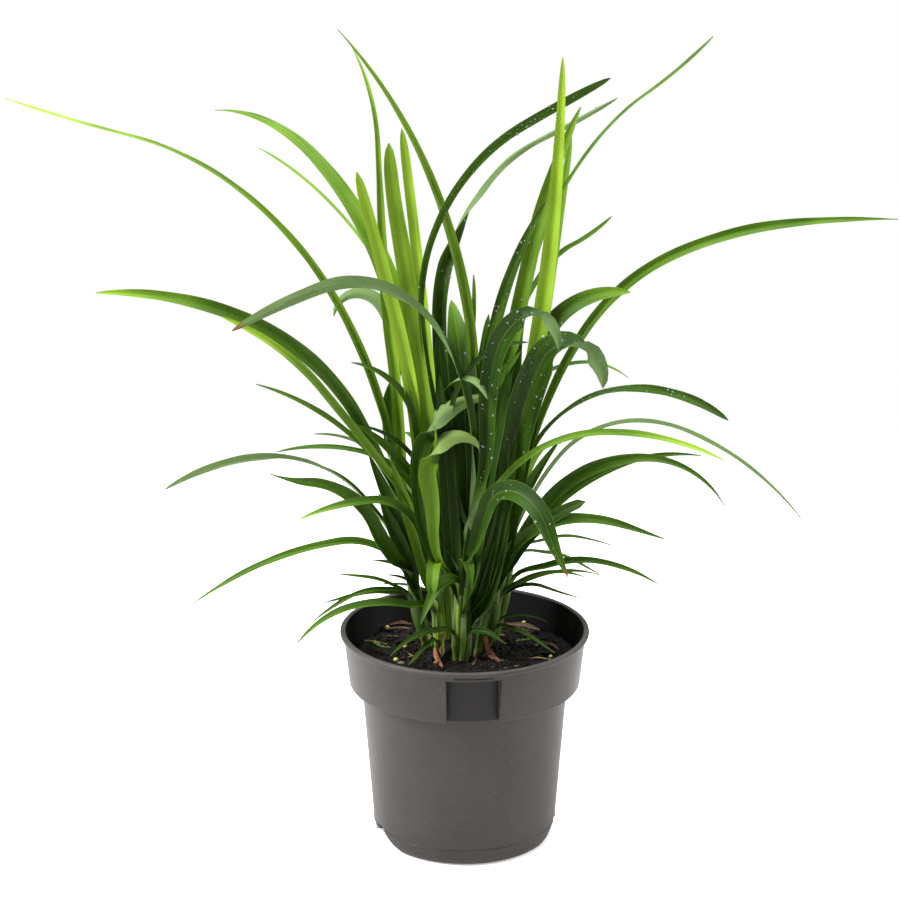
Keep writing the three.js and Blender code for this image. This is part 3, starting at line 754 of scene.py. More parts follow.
SHOOTS = (
    Shoot("left", (-20, 14), 172, 12, 190, 6, 4.5, (
        Leaf(126, 81, (3, 3.5, 3.5, 3, 1.5), 212, (22, 68, 105, 120), 0.45, (0.5,)),
        Leaf(134, 158, (5, 6, 5.5, 4, 1.2), 178, (-10, 50, 100, 110, 120, 127), 0.45, (0.6,)),
        Leaf(136, 145, (11, 12, 10, 7, 1.2), 220, (42, 36, 26, 52, 74, 62), 0.42, (0.8,), twist=20),
        Leaf(150, 183, (4.5, 4, 4, 6, 3.5), 200, (22, 40, 86, 117), 0.4, (0.5, 0.4, -0.6, -0.7)),
        Leaf(164, 259, (6, 8.5, 9.5, 8, 3.2), 190, (16, 27, 63, 90), 0.42, (0.85,), side=315, tip=Tip.PALE),
        Leaf(164, 292, (7, 8, 7.5, 3.5, 1.5), 124, (-12, 4, 13, 4, 4, 50), 0.75, (0.8,), side=90),
        Leaf(170, 373, (7, 7, 4.5, 2, 1.4), 166, (-12, 14, 31, 53, 79, 74), 0.62, (0.7,), tip=Tip.PALE),
    ), (
        Leaf(130, 56, (3, 3, 3, 2.4, 1.6), 195, (29, 52, 77, 80), 0.4, (0.5,)),
        Leaf(136, 41, (3, 3.4, 3.4, 3, 2), 190, (-20, 18, 71, 84), 0.3, (0.5,)),
        Leaf(130, 35, (3, 3, 3, 2.6, 1.8), 200, (-20, 10, 63, 85), 0.3, (0.5,)),
        Leaf(128, 62, (3, 3.4, 3.4, 3, 2), 200, (30, 71, 96, 98), 0.35, (0.5,)),
        Leaf(125, 104, (9, 10, 10, 8, 4), 190, (-10, 12, 22, 22), 0.36, (0.85,)),
        Leaf(122, 84, (9, 10, 10, 8, 4), 195, (-5, 15, 22, 19), 0.3, (0.85,), side=215),
    )),
    Shoot("front_left", (-13, 0), 200, 3, 180, 5.5, 4, (
        Leaf(124, 122, (4, 6, 5.5, 4, 2), 226, (56, 69, 87, 123), 0.45, (0.6,)),
        Leaf(135, 138, (5, 6, 6, 5, 2.5), 212, (16, 12, 83, 104), 0.42, (0.7,), side=225, tip=Tip.PALE),
        Leaf(137, 72, (5, 7, 8, 8.5, 8, 3), 262, (-45, -2, 69, 149, 215), 0.58, (0.8,)),
        Leaf(148, 214, (5, 5.5, 5.5, 5, 3), 198, (4, 35, 37, 64), 0.68, (0.8,), side=180, tip=Tip.PALE),
        Leaf(158, 157, (4, 4.5, 4, 3.6, 2), 182, (0, 36, 50, 73), 0.45, (0.6,)),
        Leaf(168, 238, (8, 12, 12, 10, 7), 174, (4, 3, 10, 5, 10, 2), 0.82, (0.95,), side=270, point=18),
    ), (
        Leaf(115, 31, (3.5, 4, 4, 3.5, 2), 235, (72, 92, 114, 107), 0.28, (0.6,), tip=Tip.BROWN),
        Leaf(165, 166, (3, 3.5, 3.5, 3, 2.2), 20, (8, 10, 10, -3), 0.6, (0.9,), point=16),
        Leaf(160, 109, (3.5, 3.5, 3.5, 3, 1.5), 180, (-5, 2, 40, 86), 0.12, (0.7,)),
        Leaf(125, 106, (9, 11, 10, 8, 4), 190, (13, 14, 17, 17), 0.66, (0.9,), side=250),
        Leaf(150, 112, (7, 8.5, 8, 6, 3), 185, (6, 6, 35, 59), 0.38, (0.8,), side=160),
        Leaf(145, 112, (6, 6.5, 6, 4, 1.5), 188, (-2, 6, 40, 84), 0.36, (0.7,), side=225),
    ), youth=1.0),
    Shoot("front", (-3, -10), 350, 3, 185, 6.5, 4.5, (
        Leaf(118, 53, (3.5, 4, 4.5, 3.5, 2), 214, (20, 76, 106, 128), 0.3, (0.6,)),
        Leaf(141, 132, (3, 4.5, 8, 11.5, 10.5, 4), 191, (60, 24, 0, 12, -55, -163), 0.68,
             (0.9,) * 8 + (-0.9,) * 3, side=224),
        Leaf(146, 158, (5, 6, 6, 5, 2.5), 175, (22, 16, 8, 83), 0.35, (0.7,)),
        Leaf(148, 147, (6, 8, 11, 13, 11, 5), 312, (8, 19, 22, 91, 149, 140), 0.24, (0.9,), tip=Tip.BROWN,
             wet=0.3, point=50),
        Leaf(148, 161, (6, 8, 9, 9, 4), 126, (0, 5, 13, 14, -50, -146), 0.35, (0.8, 0.8, 0.8, -0.9)),
        Leaf(156, 202, (4, 4.5, 5, 4.3, 2.2), 343, (0, 38, 84, 113), 0.6, (0.6,), side=40, tip=Tip.PALE),
        Leaf(175, 281, (7, 7, 7, 8, 4.5), 217, (-15, 1, 25, 55, 99, 109), 0.3,
             (0.7, 0.7, 0.6, -0.6, -0.8, -0.8), side=80, tip=Tip.BROWN),
        Leaf(160, 158, (8, 13, 17, 17, 8), 105, (13, -1, 16, 44), 0.14, (0.9,), side=60, wet=0.4,
             tip=Tip.PALE),
        Leaf(181, 179, (6, 9, 12, 13, 6), 322, (38, 13, -1, 12, 54, 186), 0.25,
             (0.9,) * 9 + (-0.9,) * 2, side=315, wet=0.6),
    ), (
        Leaf(122, 31, (3, 5, 5.5, 3.5, 2), 325, (42, 68, 110, 106), 0.28, (0.6,), wet=0.3),
        Leaf(145, 53, (4, 6, 7.5, 6, 2.5), 225, (-40, 72, 144, 152), 0.38, (0.8,)),
        Leaf(150, 49, (5, 8, 8.5, 7, 2.5), 300, (-50, -28, 152, 182), 0.5, (0.8,)),
        Leaf(122, 165, (10, 13, 12, 9, 4), 20, (4, 9, 12, 14), 0.26, (0.9,), side=300),
        Leaf(126, 150, (9, 12, 11, 9, 4), 150, (2, 4, 5, 4), 0.2, (0.9,), side=190),
        Leaf(140, 154, (5, 8, 9.5, 11, 11, 5), 195, (58, 30, 8, -2, -51, -97), 0.3,
             (0.9,) * 8 + (-0.9,) * 3, side=126, tip=Tip.PALE),
        Leaf(170, 153, (3, 3.5, 3.5, 3.5, 3), 345, (-18, -14, 21, 87), 0.12, (0.7,)),
        Leaf(130, 97, (5, 7, 7, 6, 3), 0, (-14, 7, 9, 13), 0.52, (0.9,)),
        Leaf(119, 120, (11, 13, 12, 9, 4), 5, (14, 12, 10, 12), 0.2, (0.95,), side=355),
        Leaf(121, 110, (10, 12, 11, 8, 4), 0, (22, 16, 12, 12), 0.28, (0.95,), side=10),
        Leaf(114, 95, (9, 12, 11, 8, 4), 4, (26, 18, 12, 12), 0.24, (0.95,), side=340),
    )),
    Shoot("middle", (-2, 6), 90, 2, 190, 6, 4.5, (
        Leaf(140, 157, (6, 8, 9, 12, 12, 5), 188, (16, 8, 2, 16, -37, -175), 0.3,
             (0.8,) * 8 + (-0.9,) * 3, side=135, tip=Tip.PALE),
        Leaf(158, 243, (6, 8, 9, 8, 5.5), 205, (50, 5, 15, 15), 1.0, (0.95,), point=18),
        Leaf(158, 164, (5, 6, 7, 6, 4), 326, (21, 10, -1, 23), 0.35, (0.8,)),
        Leaf(166, 243, (6, 8, 7.5, 6.5, 5), 140, (34, 6, 8, 9), 0.9, (0.9,), point=20),
        Leaf(168, 213, (6, 8, 8, 7, 3), 343, (24, 2, 14, 30), 0.33, (0.9,), side=290, wet=1.0),
        Leaf(186, 314, (5, 4.5, 4.5, 5.5, 5.5), 211, (22, 17, 4, -34, -68, -72), 0.38, (0.8,), wet=1.0,
             point=38),
        Leaf(180, 248, (8, 10, 10.5, 9, 3.5), 21, (32, 12, 13, 27), 0.66, (0.95,), wet=0.3),
        Leaf(182, 299, (6, 7.5, 7, 4, 1), 164, (-16, 4, 22, 44), 0.68, (0.8,), side=300),
    ), (
        Leaf(120, 170, (12, 14, 13, 10, 5), 5, (5, 9, 12, 14), 0.22, (0.95,), side=350),
        Leaf(120, 180, (12, 14, 13, 10, 5), 180, (0, 3, 4, 5), 0.2, (0.95,), side=200),
        Leaf(150, 158, (6, 7, 7, 6, 3.5), 350, (-8, 4, 8, 8), 0.42, (0.9,), point=12),
        Leaf(140, 159, (6, 7, 7, 6.5, 5), 335, (-20, 1, 22, 40), 0.5, (0.9,), wet=0.5),
    )),
    Shoot("right", (8, 3), 4, 12, 195, 9, 6, (
        Leaf(118, 46, (3.5, 3.5, 3.2, 2.8, 2), 332, (39, 88, 114, 118), 0.3, (0.5,)),
        Leaf(142, 127, (6, 8, 8, 5, 2), 348, (0, 29, 56, 84, 104, 107), 0.45, (0.8,), side=270),
        Leaf(152, 245, (4, 4.3, 4, 3.4, 1.2), 338, (12, 36, 105, 139), 0.42, (0.4, -0.5, -0.6), side=30),
        Leaf(156, 206, (6, 4.5, 3.5, 7, 5), 14, (8, 22, 90, 129), 0.38, (0.4, 0.3, 0.3, 0.9), side=90,
             wet=1.0),
        Leaf(168, 178, (9, 15, 19, 21, 19, 14, 9), 326, (12, 2, 8, 17, 24, 97, 189), 0.3,
             (0.95,) * 8 + (0.4, -0.9, -0.9), side=270, wet=1.0),
        Leaf(176, 274, (8, 13, 11, 7.5, 3), 34, (14, 12, 6, 1), 1.0, (0.95,), side=180, point=20),
    ), (
        Leaf(134, 67, (3.5, 3.5, 3, 2.5, 1.5), 355, (28, 59, 80, 106), 0.42, (0.5,)),
        Leaf(122, 35, (2.6, 2.6, 2.4, 2, 1.2), 0, (31, 70, 101, 118), 0.28, (0.5,)),
        Leaf(135, 89, (5, 7, 9, 8, 5), 345, (8, 23, 47, 67), 0.3, (0.8,), point=4),
        Leaf(122, 165, (12, 15, 14, 11, 5), 350, (2, 9, 12, 12), 0.36, (0.9,), side=330),
        Leaf(120, 140, (12, 14, 12, 9, 4), 180, (-4, -2, 2, 4), 0.38, (0.9,), side=240),
        Leaf(130, 65, (3, 3.6, 3.6, 3.2, 2), 350, (-5, 51, 77, 108), 0.36, (0.5,)),
        Leaf(126, 64, (3, 3, 3, 2.4, 1.6), 355, (-20, 50, 109, 103), 0.3, (0.5,)),
        Leaf(130, 115, (7, 8, 8, 6, 3), 350, (-5, 10, 25, 37), 0.4, (0.9,)),
    )),
    Shoot("back", (-8, 24), 130, 4, 190, 6.5, 4.5, (
        Leaf(134, 150, (5, 6, 6, 5, 3), 104, (20, 40, 80, 112), 0.45),
        Leaf(146, 210, (5, 6, 6, 5, 3), 72, (16, 30, 66, 100), 0.45),
        Leaf(150, 141, (4, 4, 4, 3.6, 2.5), 175, (10, 29, 79, 106), 0.4, (0.5,), side=265),
        Leaf(154, 200, (6, 8, 10, 10, 4), 158, (56, 34, 9, -18, 39, 174), 0.45,
             (0.8, 0.8, 0.8, -0.9, -0.9), side=200),
        Leaf(158, 327, (8, 11, 13.5, 7.5, 1), 142, (5, 13, 26, 54, 99), 0.62, (0.9,), point=50),
        Leaf(168, 292, (3, 3, 2.6, 2, 1.5), 130, (6, 23, 59, 81), 0.7, (0.6,), side=45),
        Leaf(178, 308, (7, 10, 10, 3.6, 3), 218, (-26, 7, 0, -39, -75, -72), 0.3,
             (0.9, 0.9, 0.9, -0.6, -0.7), wet=0.8),
    ), (
        Leaf(152, 118, (4, 4.5, 5, 4.5, 3), 185, (20, 26, 48, 91), 0.4, (0.4, -0.5)),
        Leaf(139, 46, (2.5, 2.5, 2.5, 2, 1.2), 165, (44, 54, 84, 88), 0.35, (0.5,)),
        Leaf(129, 43, (2.5, 2.5, 2.5, 2, 1.2), 190, (59, 59, 80, 93), 0.25, (0.5,)),
        Leaf(130, 230, (12, 14, 12, 9, 4), 160, (3, 6, 8, 9), 0.3, (0.9,), side=190),
    )),
    Shoot("back_right", (15, 20), 25, 11, 190, 6.5, 4.5, (
        Leaf(132, 101, (4.5, 5.5, 5, 3.6, 2), 2, (40, 71, 103, 124), 0.42, (0.6,)),
        Leaf(136, 150, (5, 5, 5, 4, 3), 72, (20, 45, 84, 116), 0.45),
        Leaf(142, 176, (6, 9, 9, 4, 1), 348, (12, 39, 82, 151), 0.45, (0.8,)),
        Leaf(150, 197, (3, 3, 3, 3, 2), 40, (-4, -4, 80, 129), 0.35, (0.4,), side=135, tip=Tip.PALE),
        Leaf(162, 190, (7, 10, 12, 11, 7), 347, (6, 2, 21, 93), 0.28, (0.9,), side=270, wet=0.6,
             tip=Tip.PALE),
        Leaf(160, 271, (4, 4, 3.5, 3.4, 2.5), 62, (-10, -7, 9, 60, 89, 78), 0.42, (0.5,), side=225),
        Leaf(170, 326, (6, 6, 7, 6.5, 1), 10, (4, 16, 35, 68, 86, 94), 0.55, (0.8,), side=0),
        Leaf(186, 344, (3.5, 3.5, 2.6, 1.9, 2.4), 48, (-6, -7, 20, 50, 73, 63), 0.5, (0.4,)),
    ), (
        Leaf(150, 72, (2.5, 2.8, 2.5, 2, 1.5), 20, (41, 71, 105, 114), 0.4, (0.5,)),
        Leaf(146, 79, (2.5, 3, 3, 2.5, 1.5), 35, (46, 98, 122, 125), 0.4, (0.5,)),
        Leaf(146, 142, (5, 7, 7, 4, 1.5), 5, (25, 44, 69, 100), 0.38, (0.6,)),
        Leaf(188, 213, (5, 6, 6, 5, 3.5), 60, (15, 16, 16, 16), 0.75, (0.9,), point=20),
    )),
)


@dataclass
class Strap:
    """The fine mesh of one leaf: a folded sheath that clasps the shoot, and above it the blade.

    The blade follows the same path as the leaf's node, with a rounded fold, thin margins that ripple a
    little and a keel under the midrib. It rolls about its midrib as its facing says. layer is how many
    other leaves the sheath lies outside of. soft_fold rounds the fold: the softness, and the offset and
    the scale that bring the round fold back to 0 at the midrib and to 1 at the margins.
    """

    shoot: Shoot
    leaf: Leaf
    number: int
    layer: float
    free_at: float = 0.15
    folds: tuple[float, float, float, float] = (60.0, 36.0, 25.0, 13.0)
    front: tuple[float, float, float] = (0.0, -0.94, 0.33)
    rolled_at: float = 0.28
    step: float = 4.0
    fewest_steps: int = 14
    across: int = 11
    substeps: int = 4
    midrib: float = 0.65
    margin: float = 0.22
    ripple: float = 0.025
    ripple_length: float = 34.0
    ripple_shift: tuple[float, float] = (1.7, 2.1)
    soft_fold: tuple[float, float, float] = (0.02, 0.141, 0.869)
    start_gap: float = 1.3
    sheath_gap: float = 0.8
    sheath_bend: float = 0.9
    sheath_steps: int = 8
    sheath_length: float = 46.0
    sheath_depth: float = 4.0
    sheath_arms: tuple[float, float] = (1.6, 1.0)
    sheath_share: float = 1.0
    sheath_reach: tuple[float, float] = (0.7, 1.0)
    layer_gap: float = 0.2
    layer_spread: float = 0.3
    free_after: float = 34.0
    free_share: float = 0.4
    skin: float = 0.5
    lowest_tip: float = 0.25
    number_step: float = 7.3

    def half_width(self, share: float) -> float:
        """Find half the leaf's width.

        Args:
            share: the share of its length.

        Returns:
            Half the width.
        """
        left = min(1.0, (1 - share) * self.leaf.length / self.leaf.point)
        closing = math.sqrt(max(0.0, 1 - (1 - left) ** 2))
        return max(between(self.leaf.widths, share) * closing / 2, self.lowest_tip)

    def heading(self, share: float) -> Array:
        """Find the direction that the leaf runs in.

        Args:
            share: the share of its length.

        Returns:
            The unit direction.
        """
        lean = math.radians(between(self.leaf.leans, share))
        own = polar(math.sin(lean), self.leaf.bearing, math.cos(lean))
        free = smoothstep(share, 0.0, self.free_at)
        direction = self.shoot.direction() * (1 - free) + own * free
        return direction / np.linalg.norm(direction)

    def upward(self, direction: Array) -> Array:
        """Return the unit normal of the upper face of an unrolled leaf."""
        up = np.cross(direction, polar(1.0, self.leaf.bearing + 90))
        return up / np.linalg.norm(up)

    def rolls(self, shares: Sequence[float]) -> Array:
        """Find how far the leaf rolls about its midrib, towards what its facing asks for.

        Args:
            shares: shares of its length, from the base to the tip.

        Returns:
            The roll in radians at each share.
        """
        front = np.array(self.front)
        turns = []
        for share in shares:
            direction = self.heading(share)
            up = self.upward(direction)
            ahead = front - direction * (front @ direction)
            turns.append(math.atan2(direction @ np.cross(up, ahead), up @ ahead))
        shown = np.unwrap(turns)
        hidden = np.unwrap([turn - math.copysign(math.pi, turn) for turn in turns])
        rolls = []
        for share, face, back in zip(shares, shown, hidden):
            facing = between(self.leaf.facing, share)
            turn = face if facing > 0 else back
            own = math.radians(self.leaf.twist) * share
            rolls.append(abs(facing) * turn * smoothstep(share, 0.0, self.rolled_at) + own)
        return np.array(rolls)

    def places(self) -> Array:
        """Return the places across the leaf, from 1 at one margin to -1 at the other."""
        return np.sin(np.linspace(math.pi / 2, -math.pi / 2, self.across))

    def blade_ring(self, share: float, centre: Array, direction: Array, roll: float) -> Array:
        """Make one section of the blade.

        Args:
            share: the share of the leaf's length.
            centre: the middle of the section.
            direction: the unit direction that the leaf runs in.
            roll: how far it is rolled about that direction, in radians.

        Returns:
            The points round the section, the upper side first.
        """
        up = self.upward(direction)
        across = np.cross(up, direction)
        across, up = turned(across, direction, roll), turned(up, direction, roll)
        half = self.half_width(share)
        fold = math.radians(between(self.folds, share))
        slim = min(1.0, max(0.5, half))
        distance = share * self.leaf.length
        free = smoothstep(share, 0.1, 0.3) * (1 - smoothstep(share, 0.85, 1.0))
        wave = self.ripple * max(self.leaf.widths) * free
        each, other = self.ripple_shift
        soft, lowest, full = self.soft_fold
        top, bottom = [], []
        for u in self.places():
            round_fold = (math.sqrt(u * u + soft) - lowest) / full
            phase = math.tau * distance / self.ripple_length + self.number * each + (other if u > 0 else 0.0)
            lift = half * math.sin(fold) * round_fold + wave * math.sin(phase) * u * u
            point = centre + across * (half * math.cos(fold) * u) + up * lift
            thick = (self.midrib + (self.margin - self.midrib) * abs(u) ** 0.6) * slim
            top.append(point)
            bottom.append(point - up * thick)
        return np.array(top + bottom[::-1])

    def clasped_side(self) -> float:
        """Return the bearing of the side of the shoot that the leaf starts on."""
        return self.leaf.bearing if self.leaf.side is None else self.leaf.side

    def sheath_ring(self, height: float) -> Array:
        """Make one section of the folded base, which clasps the shoot like a U.

        Args:
            height: the section's height above the floor.

        Returns:
            The points round the section.
        """
        side, shoot = self.clasped_side(), self.shoot
        flip = 1.0 if math.cos(math.radians(side - self.leaf.bearing)) >= -1e-6 else -1.0
        rise = min(1.0, max(0.0, (height - shoot.level) / (self.leaf.start - shoot.level)))
        least, most = self.sheath_arms
        half = least + (most + self.sheath_share * self.half_width(0.0) - least) * rise
        near, far = self.sheath_reach
        loose = self.layer_gap * self.layer
        reach = (shoot.radius(height, side) + self.sheath_gap + loose) * (near + (far - near) * rise)
        reach += self.layer_spread * self.layer * rise * rise
        bend = min(self.sheath_bend + loose, half / (math.pi / 2))
        centre = shoot.point(height)
        outward, aside = polar(1.0, side), polar(flip, side + 90)
        inner, outer = [], []
        for u in self.places():
            arc = min(abs(u) * half, bend * math.pi / 2)
            straight = abs(u) * half - arc
            turn = arc / bend
            inward = bend * (1 - math.cos(turn)) + straight
            shift = math.copysign(bend * math.sin(turn), u)
            point = centre + outward * (reach - inward) + aside * shift
            thick = self.skin * (1.4 - abs(u))
            normal = outward * math.cos(turn) + aside * math.copysign(math.sin(turn), u)
            inner.append(point)
            outer.append(point + normal * thick)
        top, bottom = (inner, outer) if flip > 0 else (outer, inner)
        return np.array(top + bottom[::-1])

    def start_point(self) -> Array:
        """Find where the blade starts, beside the shoot.

        Returns:
            The middle of its first section.
        """
        side = self.clasped_side()
        reach = self.shoot.radius(self.leaf.start, side) + self.start_gap
        return self.shoot.point(self.leaf.start) + polar(reach, side)

    def rings(self) -> tuple[list[Array], list[float]]:
        """Make the sections from the foot of the sheath to the tip.

        Returns:
            The sections, and the share of the leaf's length at each, which is below 0 on the sheath.
        """
        leaf = self.leaf
        rings, shares = [], []
        sheath = min(self.sheath_length, leaf.start - self.shoot.level + self.sheath_depth)
        for i in range(self.sheath_steps):
            below = sheath * (1 - i / self.sheath_steps)
            rings.append(self.sheath_ring(leaf.start - below))
            shares.append(-below / leaf.length)
        stations = max(self.fewest_steps, round(leaf.length / self.step))
        blade_shares = [i / stations for i in range(stations + 1)]
        centre = self.start_point()
        stride = leaf.length / (stations * self.substeps)
        for share, roll in zip(blade_shares, self.rolls(blade_shares)):
            ring = self.blade_ring(share, centre, self.heading(share), roll)
            free = smoothstep(
                share * leaf.length, 0.0, min(self.free_after, leaf.length * self.free_share))
            if free < 1:
                height = min(leaf.start + share * leaf.length, self.shoot.top)
                ring = self.sheath_ring(height) * (1 - free) + ring * free
            rings.append(ring)
            shares.append(share)
            for k in range(self.substeps):
                middle = min(1.0, share + (k + 0.5) / (stations * self.substeps))
                centre = centre + self.heading(middle) * stride
        return rings, shares

    def build(self, name: str) -> bpy.types.Mesh:
        """Make the leaf's mesh with the attributes that its finish reads.

        Args:
            name: the mesh's name.

        Returns:
            The mesh.
        """
        rings, shares = self.rings()
        places = self.places()
        around = np.concatenate([places, places[::-1]])
        under = np.concatenate([np.zeros(len(places)), np.ones(len(places))])
        count = len(around)
        blade, shade, tint = [], [], []
        for share in shares:
            along = np.full(count, share)
            tone = max(self.leaf.tone, self.shoot.youth) if share < 0 else self.leaf.tone
            tint.append(np.tile([tone, *self.leaf.tip.value], (count, 1)))
            wide = max(self.half_width(share), 1.0)
            blade.append(np.stack(
                [around * wide, along * self.leaf.length, np.full(count, self.number * self.number_step)], 1))
            shade.append(np.stack([around, along, under], 1))
        marks = {"blade": np.vstack(blade), "shade": np.vstack(shade), "tint": np.vstack(tint)}
        return mesh_of(name, np.vstack(rings), tube_faces(len(rings), count), marks)


@dataclass
class Dew:
    """Drops of water that lie on the wetter leaves.

    sizes are the radii of the smallest and the largest, and density is how many lie on a square metre of
    the wettest leaf. few_large is the power that makes large ones rare.
    """

    sizes: tuple[float, float] = (0.4, 1.0)
    flatness: float = 0.6
    density: float = 26000.0
    few_large: float = 2.6
    segments: int = 8
    rings: int = 5
    dry_base: float = 0.12
    seed: int = 17

    def tree(self) -> Tree:
        """Make the tree that lays flattened drops on the faces, thickest where wet is high.

        Returns:
            The tree.
        """
        tree, host, given = new_tree("dew", ("Density", "Smallest", "Largest", "Flatness"), ("Seed",))
        wet = add(tree, "GeometryNodeInputNamedAttribute", {"Name": "wet"}, data_type="FLOAT")
        thick = add(tree, "ShaderNodeMath", {0: wet, 1: given["Density"]}, operation="MULTIPLY")
        points = add(tree, "GeometryNodeDistributePointsOnFaces", {
            "Mesh": host, "Density": thick, "Seed": given["Seed"]})
        turn = points.node.outputs["Rotation"]
        drop = add(tree, "GeometryNodeMeshUVSphere", {
            "Segments": self.segments, "Rings": self.rings, "Radius": 1.0})
        spread = add(tree, "FunctionNodeRandomValue", {"Seed": given["Seed"]}, out=1, data_type="FLOAT")
        spread = add(tree, "ShaderNodeMath", {0: spread, 1: self.few_large}, operation="POWER")
        size = add(tree, "ShaderNodeMapRange", {0: spread, 3: given["Smallest"], 4: given["Largest"]})
        flat = add(tree, "ShaderNodeMath", {0: size, 1: given["Flatness"]}, operation="MULTIPLY")
        shape = add(tree, "ShaderNodeCombineXYZ", {0: size, 1: size, 2: flat})
        drops = add(tree, "GeometryNodeInstanceOnPoints", {
            "Points": points, "Instance": drop, "Rotation": turn, "Scale": shape})
        drops = add(tree, "GeometryNodeRealizeInstances", {"Geometry": drops})
        drops = add(tree, "GeometryNodeSetMaterial", {"Geometry": drops, "Material": Water().material()})
        add(tree, "NodeGroupOutput", {0: drops})
        return tree

    def wettable(self, mesh: bpy.types.Mesh) -> Part:
        """Find the part of a leaf that drops lie on.

        Args:
            mesh: the leaf's mesh.

        Returns:
            Its points, and the faces of its upper side above the sheath.
        """
        shade = [entry.vector for entry in mesh.attributes["shade"].data]
        faces = [
            tuple(face.vertices) for face in mesh.polygons
            if all(shade[i][2] < 0.5 and shade[i][1] > self.dry_base for i in face.vertices)]
        return [np.array(v.co) for v in mesh.vertices], faces

    def build(self, hosts: Sequence[tuple[bpy.types.Mesh, float]]) -> None:
        """Lay drops on the upper faces of leaves.

        Args:
            hosts: the leaves' meshes, each with its wetness.
        """
        points, faces = joined(self.wettable(mesh) for mesh, _ in hosts)
        wetness = [wet for mesh, wet in hosts for _ in mesh.vertices]
        ground = bpy.data.meshes.new("wet_faces")
        ground.from_pydata([tuple(p) for p in points], [], faces)
        layer = ground.attributes.new("wet", "FLOAT", "POINT")
        layer.data.foreach_set("value", np.array(wetness, np.float32))
        low, high = self.sizes
        mesh = grown("water_drops", ground, self.tree(), {
            "Density": self.density, "Smallest": low * MM, "Largest": high * MM, "Flatness": self.flatness,
            "Seed": self.seed})
        mesh.shade_smooth()
        piece(mesh, Water())


@dataclass
class Plant:
    """The whole plant: its shoots, every leaf on them and the drops of water on the leaves.

    stem_share is how much of a shoot's section its core fills, and layers is how many sheaths lie between
    the innermost leaf of a shoot and the outermost.
    """

    shoots: tuple[Shoot, ...] = SHOOTS
    stem_share: float = 0.72
    stem_sides: int = 28
    layers: float = 4.5
    stem_stations: int = 30

    def build_stem(self, shoot: Shoot) -> None:
        """Build the core of one shoot.

        Args:
            shoot: the shoot.
        """
        rings = []
        foot = shoot.level - shoot.depth
        for i in range(self.stem_stations + 1):
            height = foot + (shoot.top - foot) * i / self.stem_stations
            scale, centre = shoot.scale(height) * self.stem_share, shoot.point(height)
            for k in range(self.stem_sides):
                turn = math.tau * k / self.stem_sides
                along = polar(math.cos(turn) * shoot.width / 2 * scale, shoot.bearing)
                aside = polar(math.sin(turn) * shoot.thickness / 2 * scale, shoot.bearing + 90)
                rings.append(centre + along + aside)
        name = f"{shoot.name}_shoot"
        mesh = mesh_of(f"{name}_stem", rings, tube_faces(self.stem_stations + 1, self.stem_sides))
        piece(mesh, ShootSkin(), [name])

    def build(self) -> None:
        """Build every shoot with its leaves, and the drops on them."""
        number = 0
        wet = []
        for shoot in self.shoots:
            self.build_stem(shoot)
            leaves = (*shoot.leaves, *shoot.others)
            for i, leaf in enumerate(leaves):
                number += 1
                above = sum(other.start > leaf.start for other in leaves)
                strap = Strap(shoot, leaf, number, self.layers * above / len(leaves))
                mesh = strap.build(f"{shoot.name}_blade_{i + 1}")
                nodes = [f"{shoot.name}_leaf_{i + 1}"] if i < len(shoot.leaves) else []
                piece(mesh, LeafCuticle(), nodes)
                if leaf.wet:
                    wet.append((mesh, leaf.wet))
        Dew().build(wet)


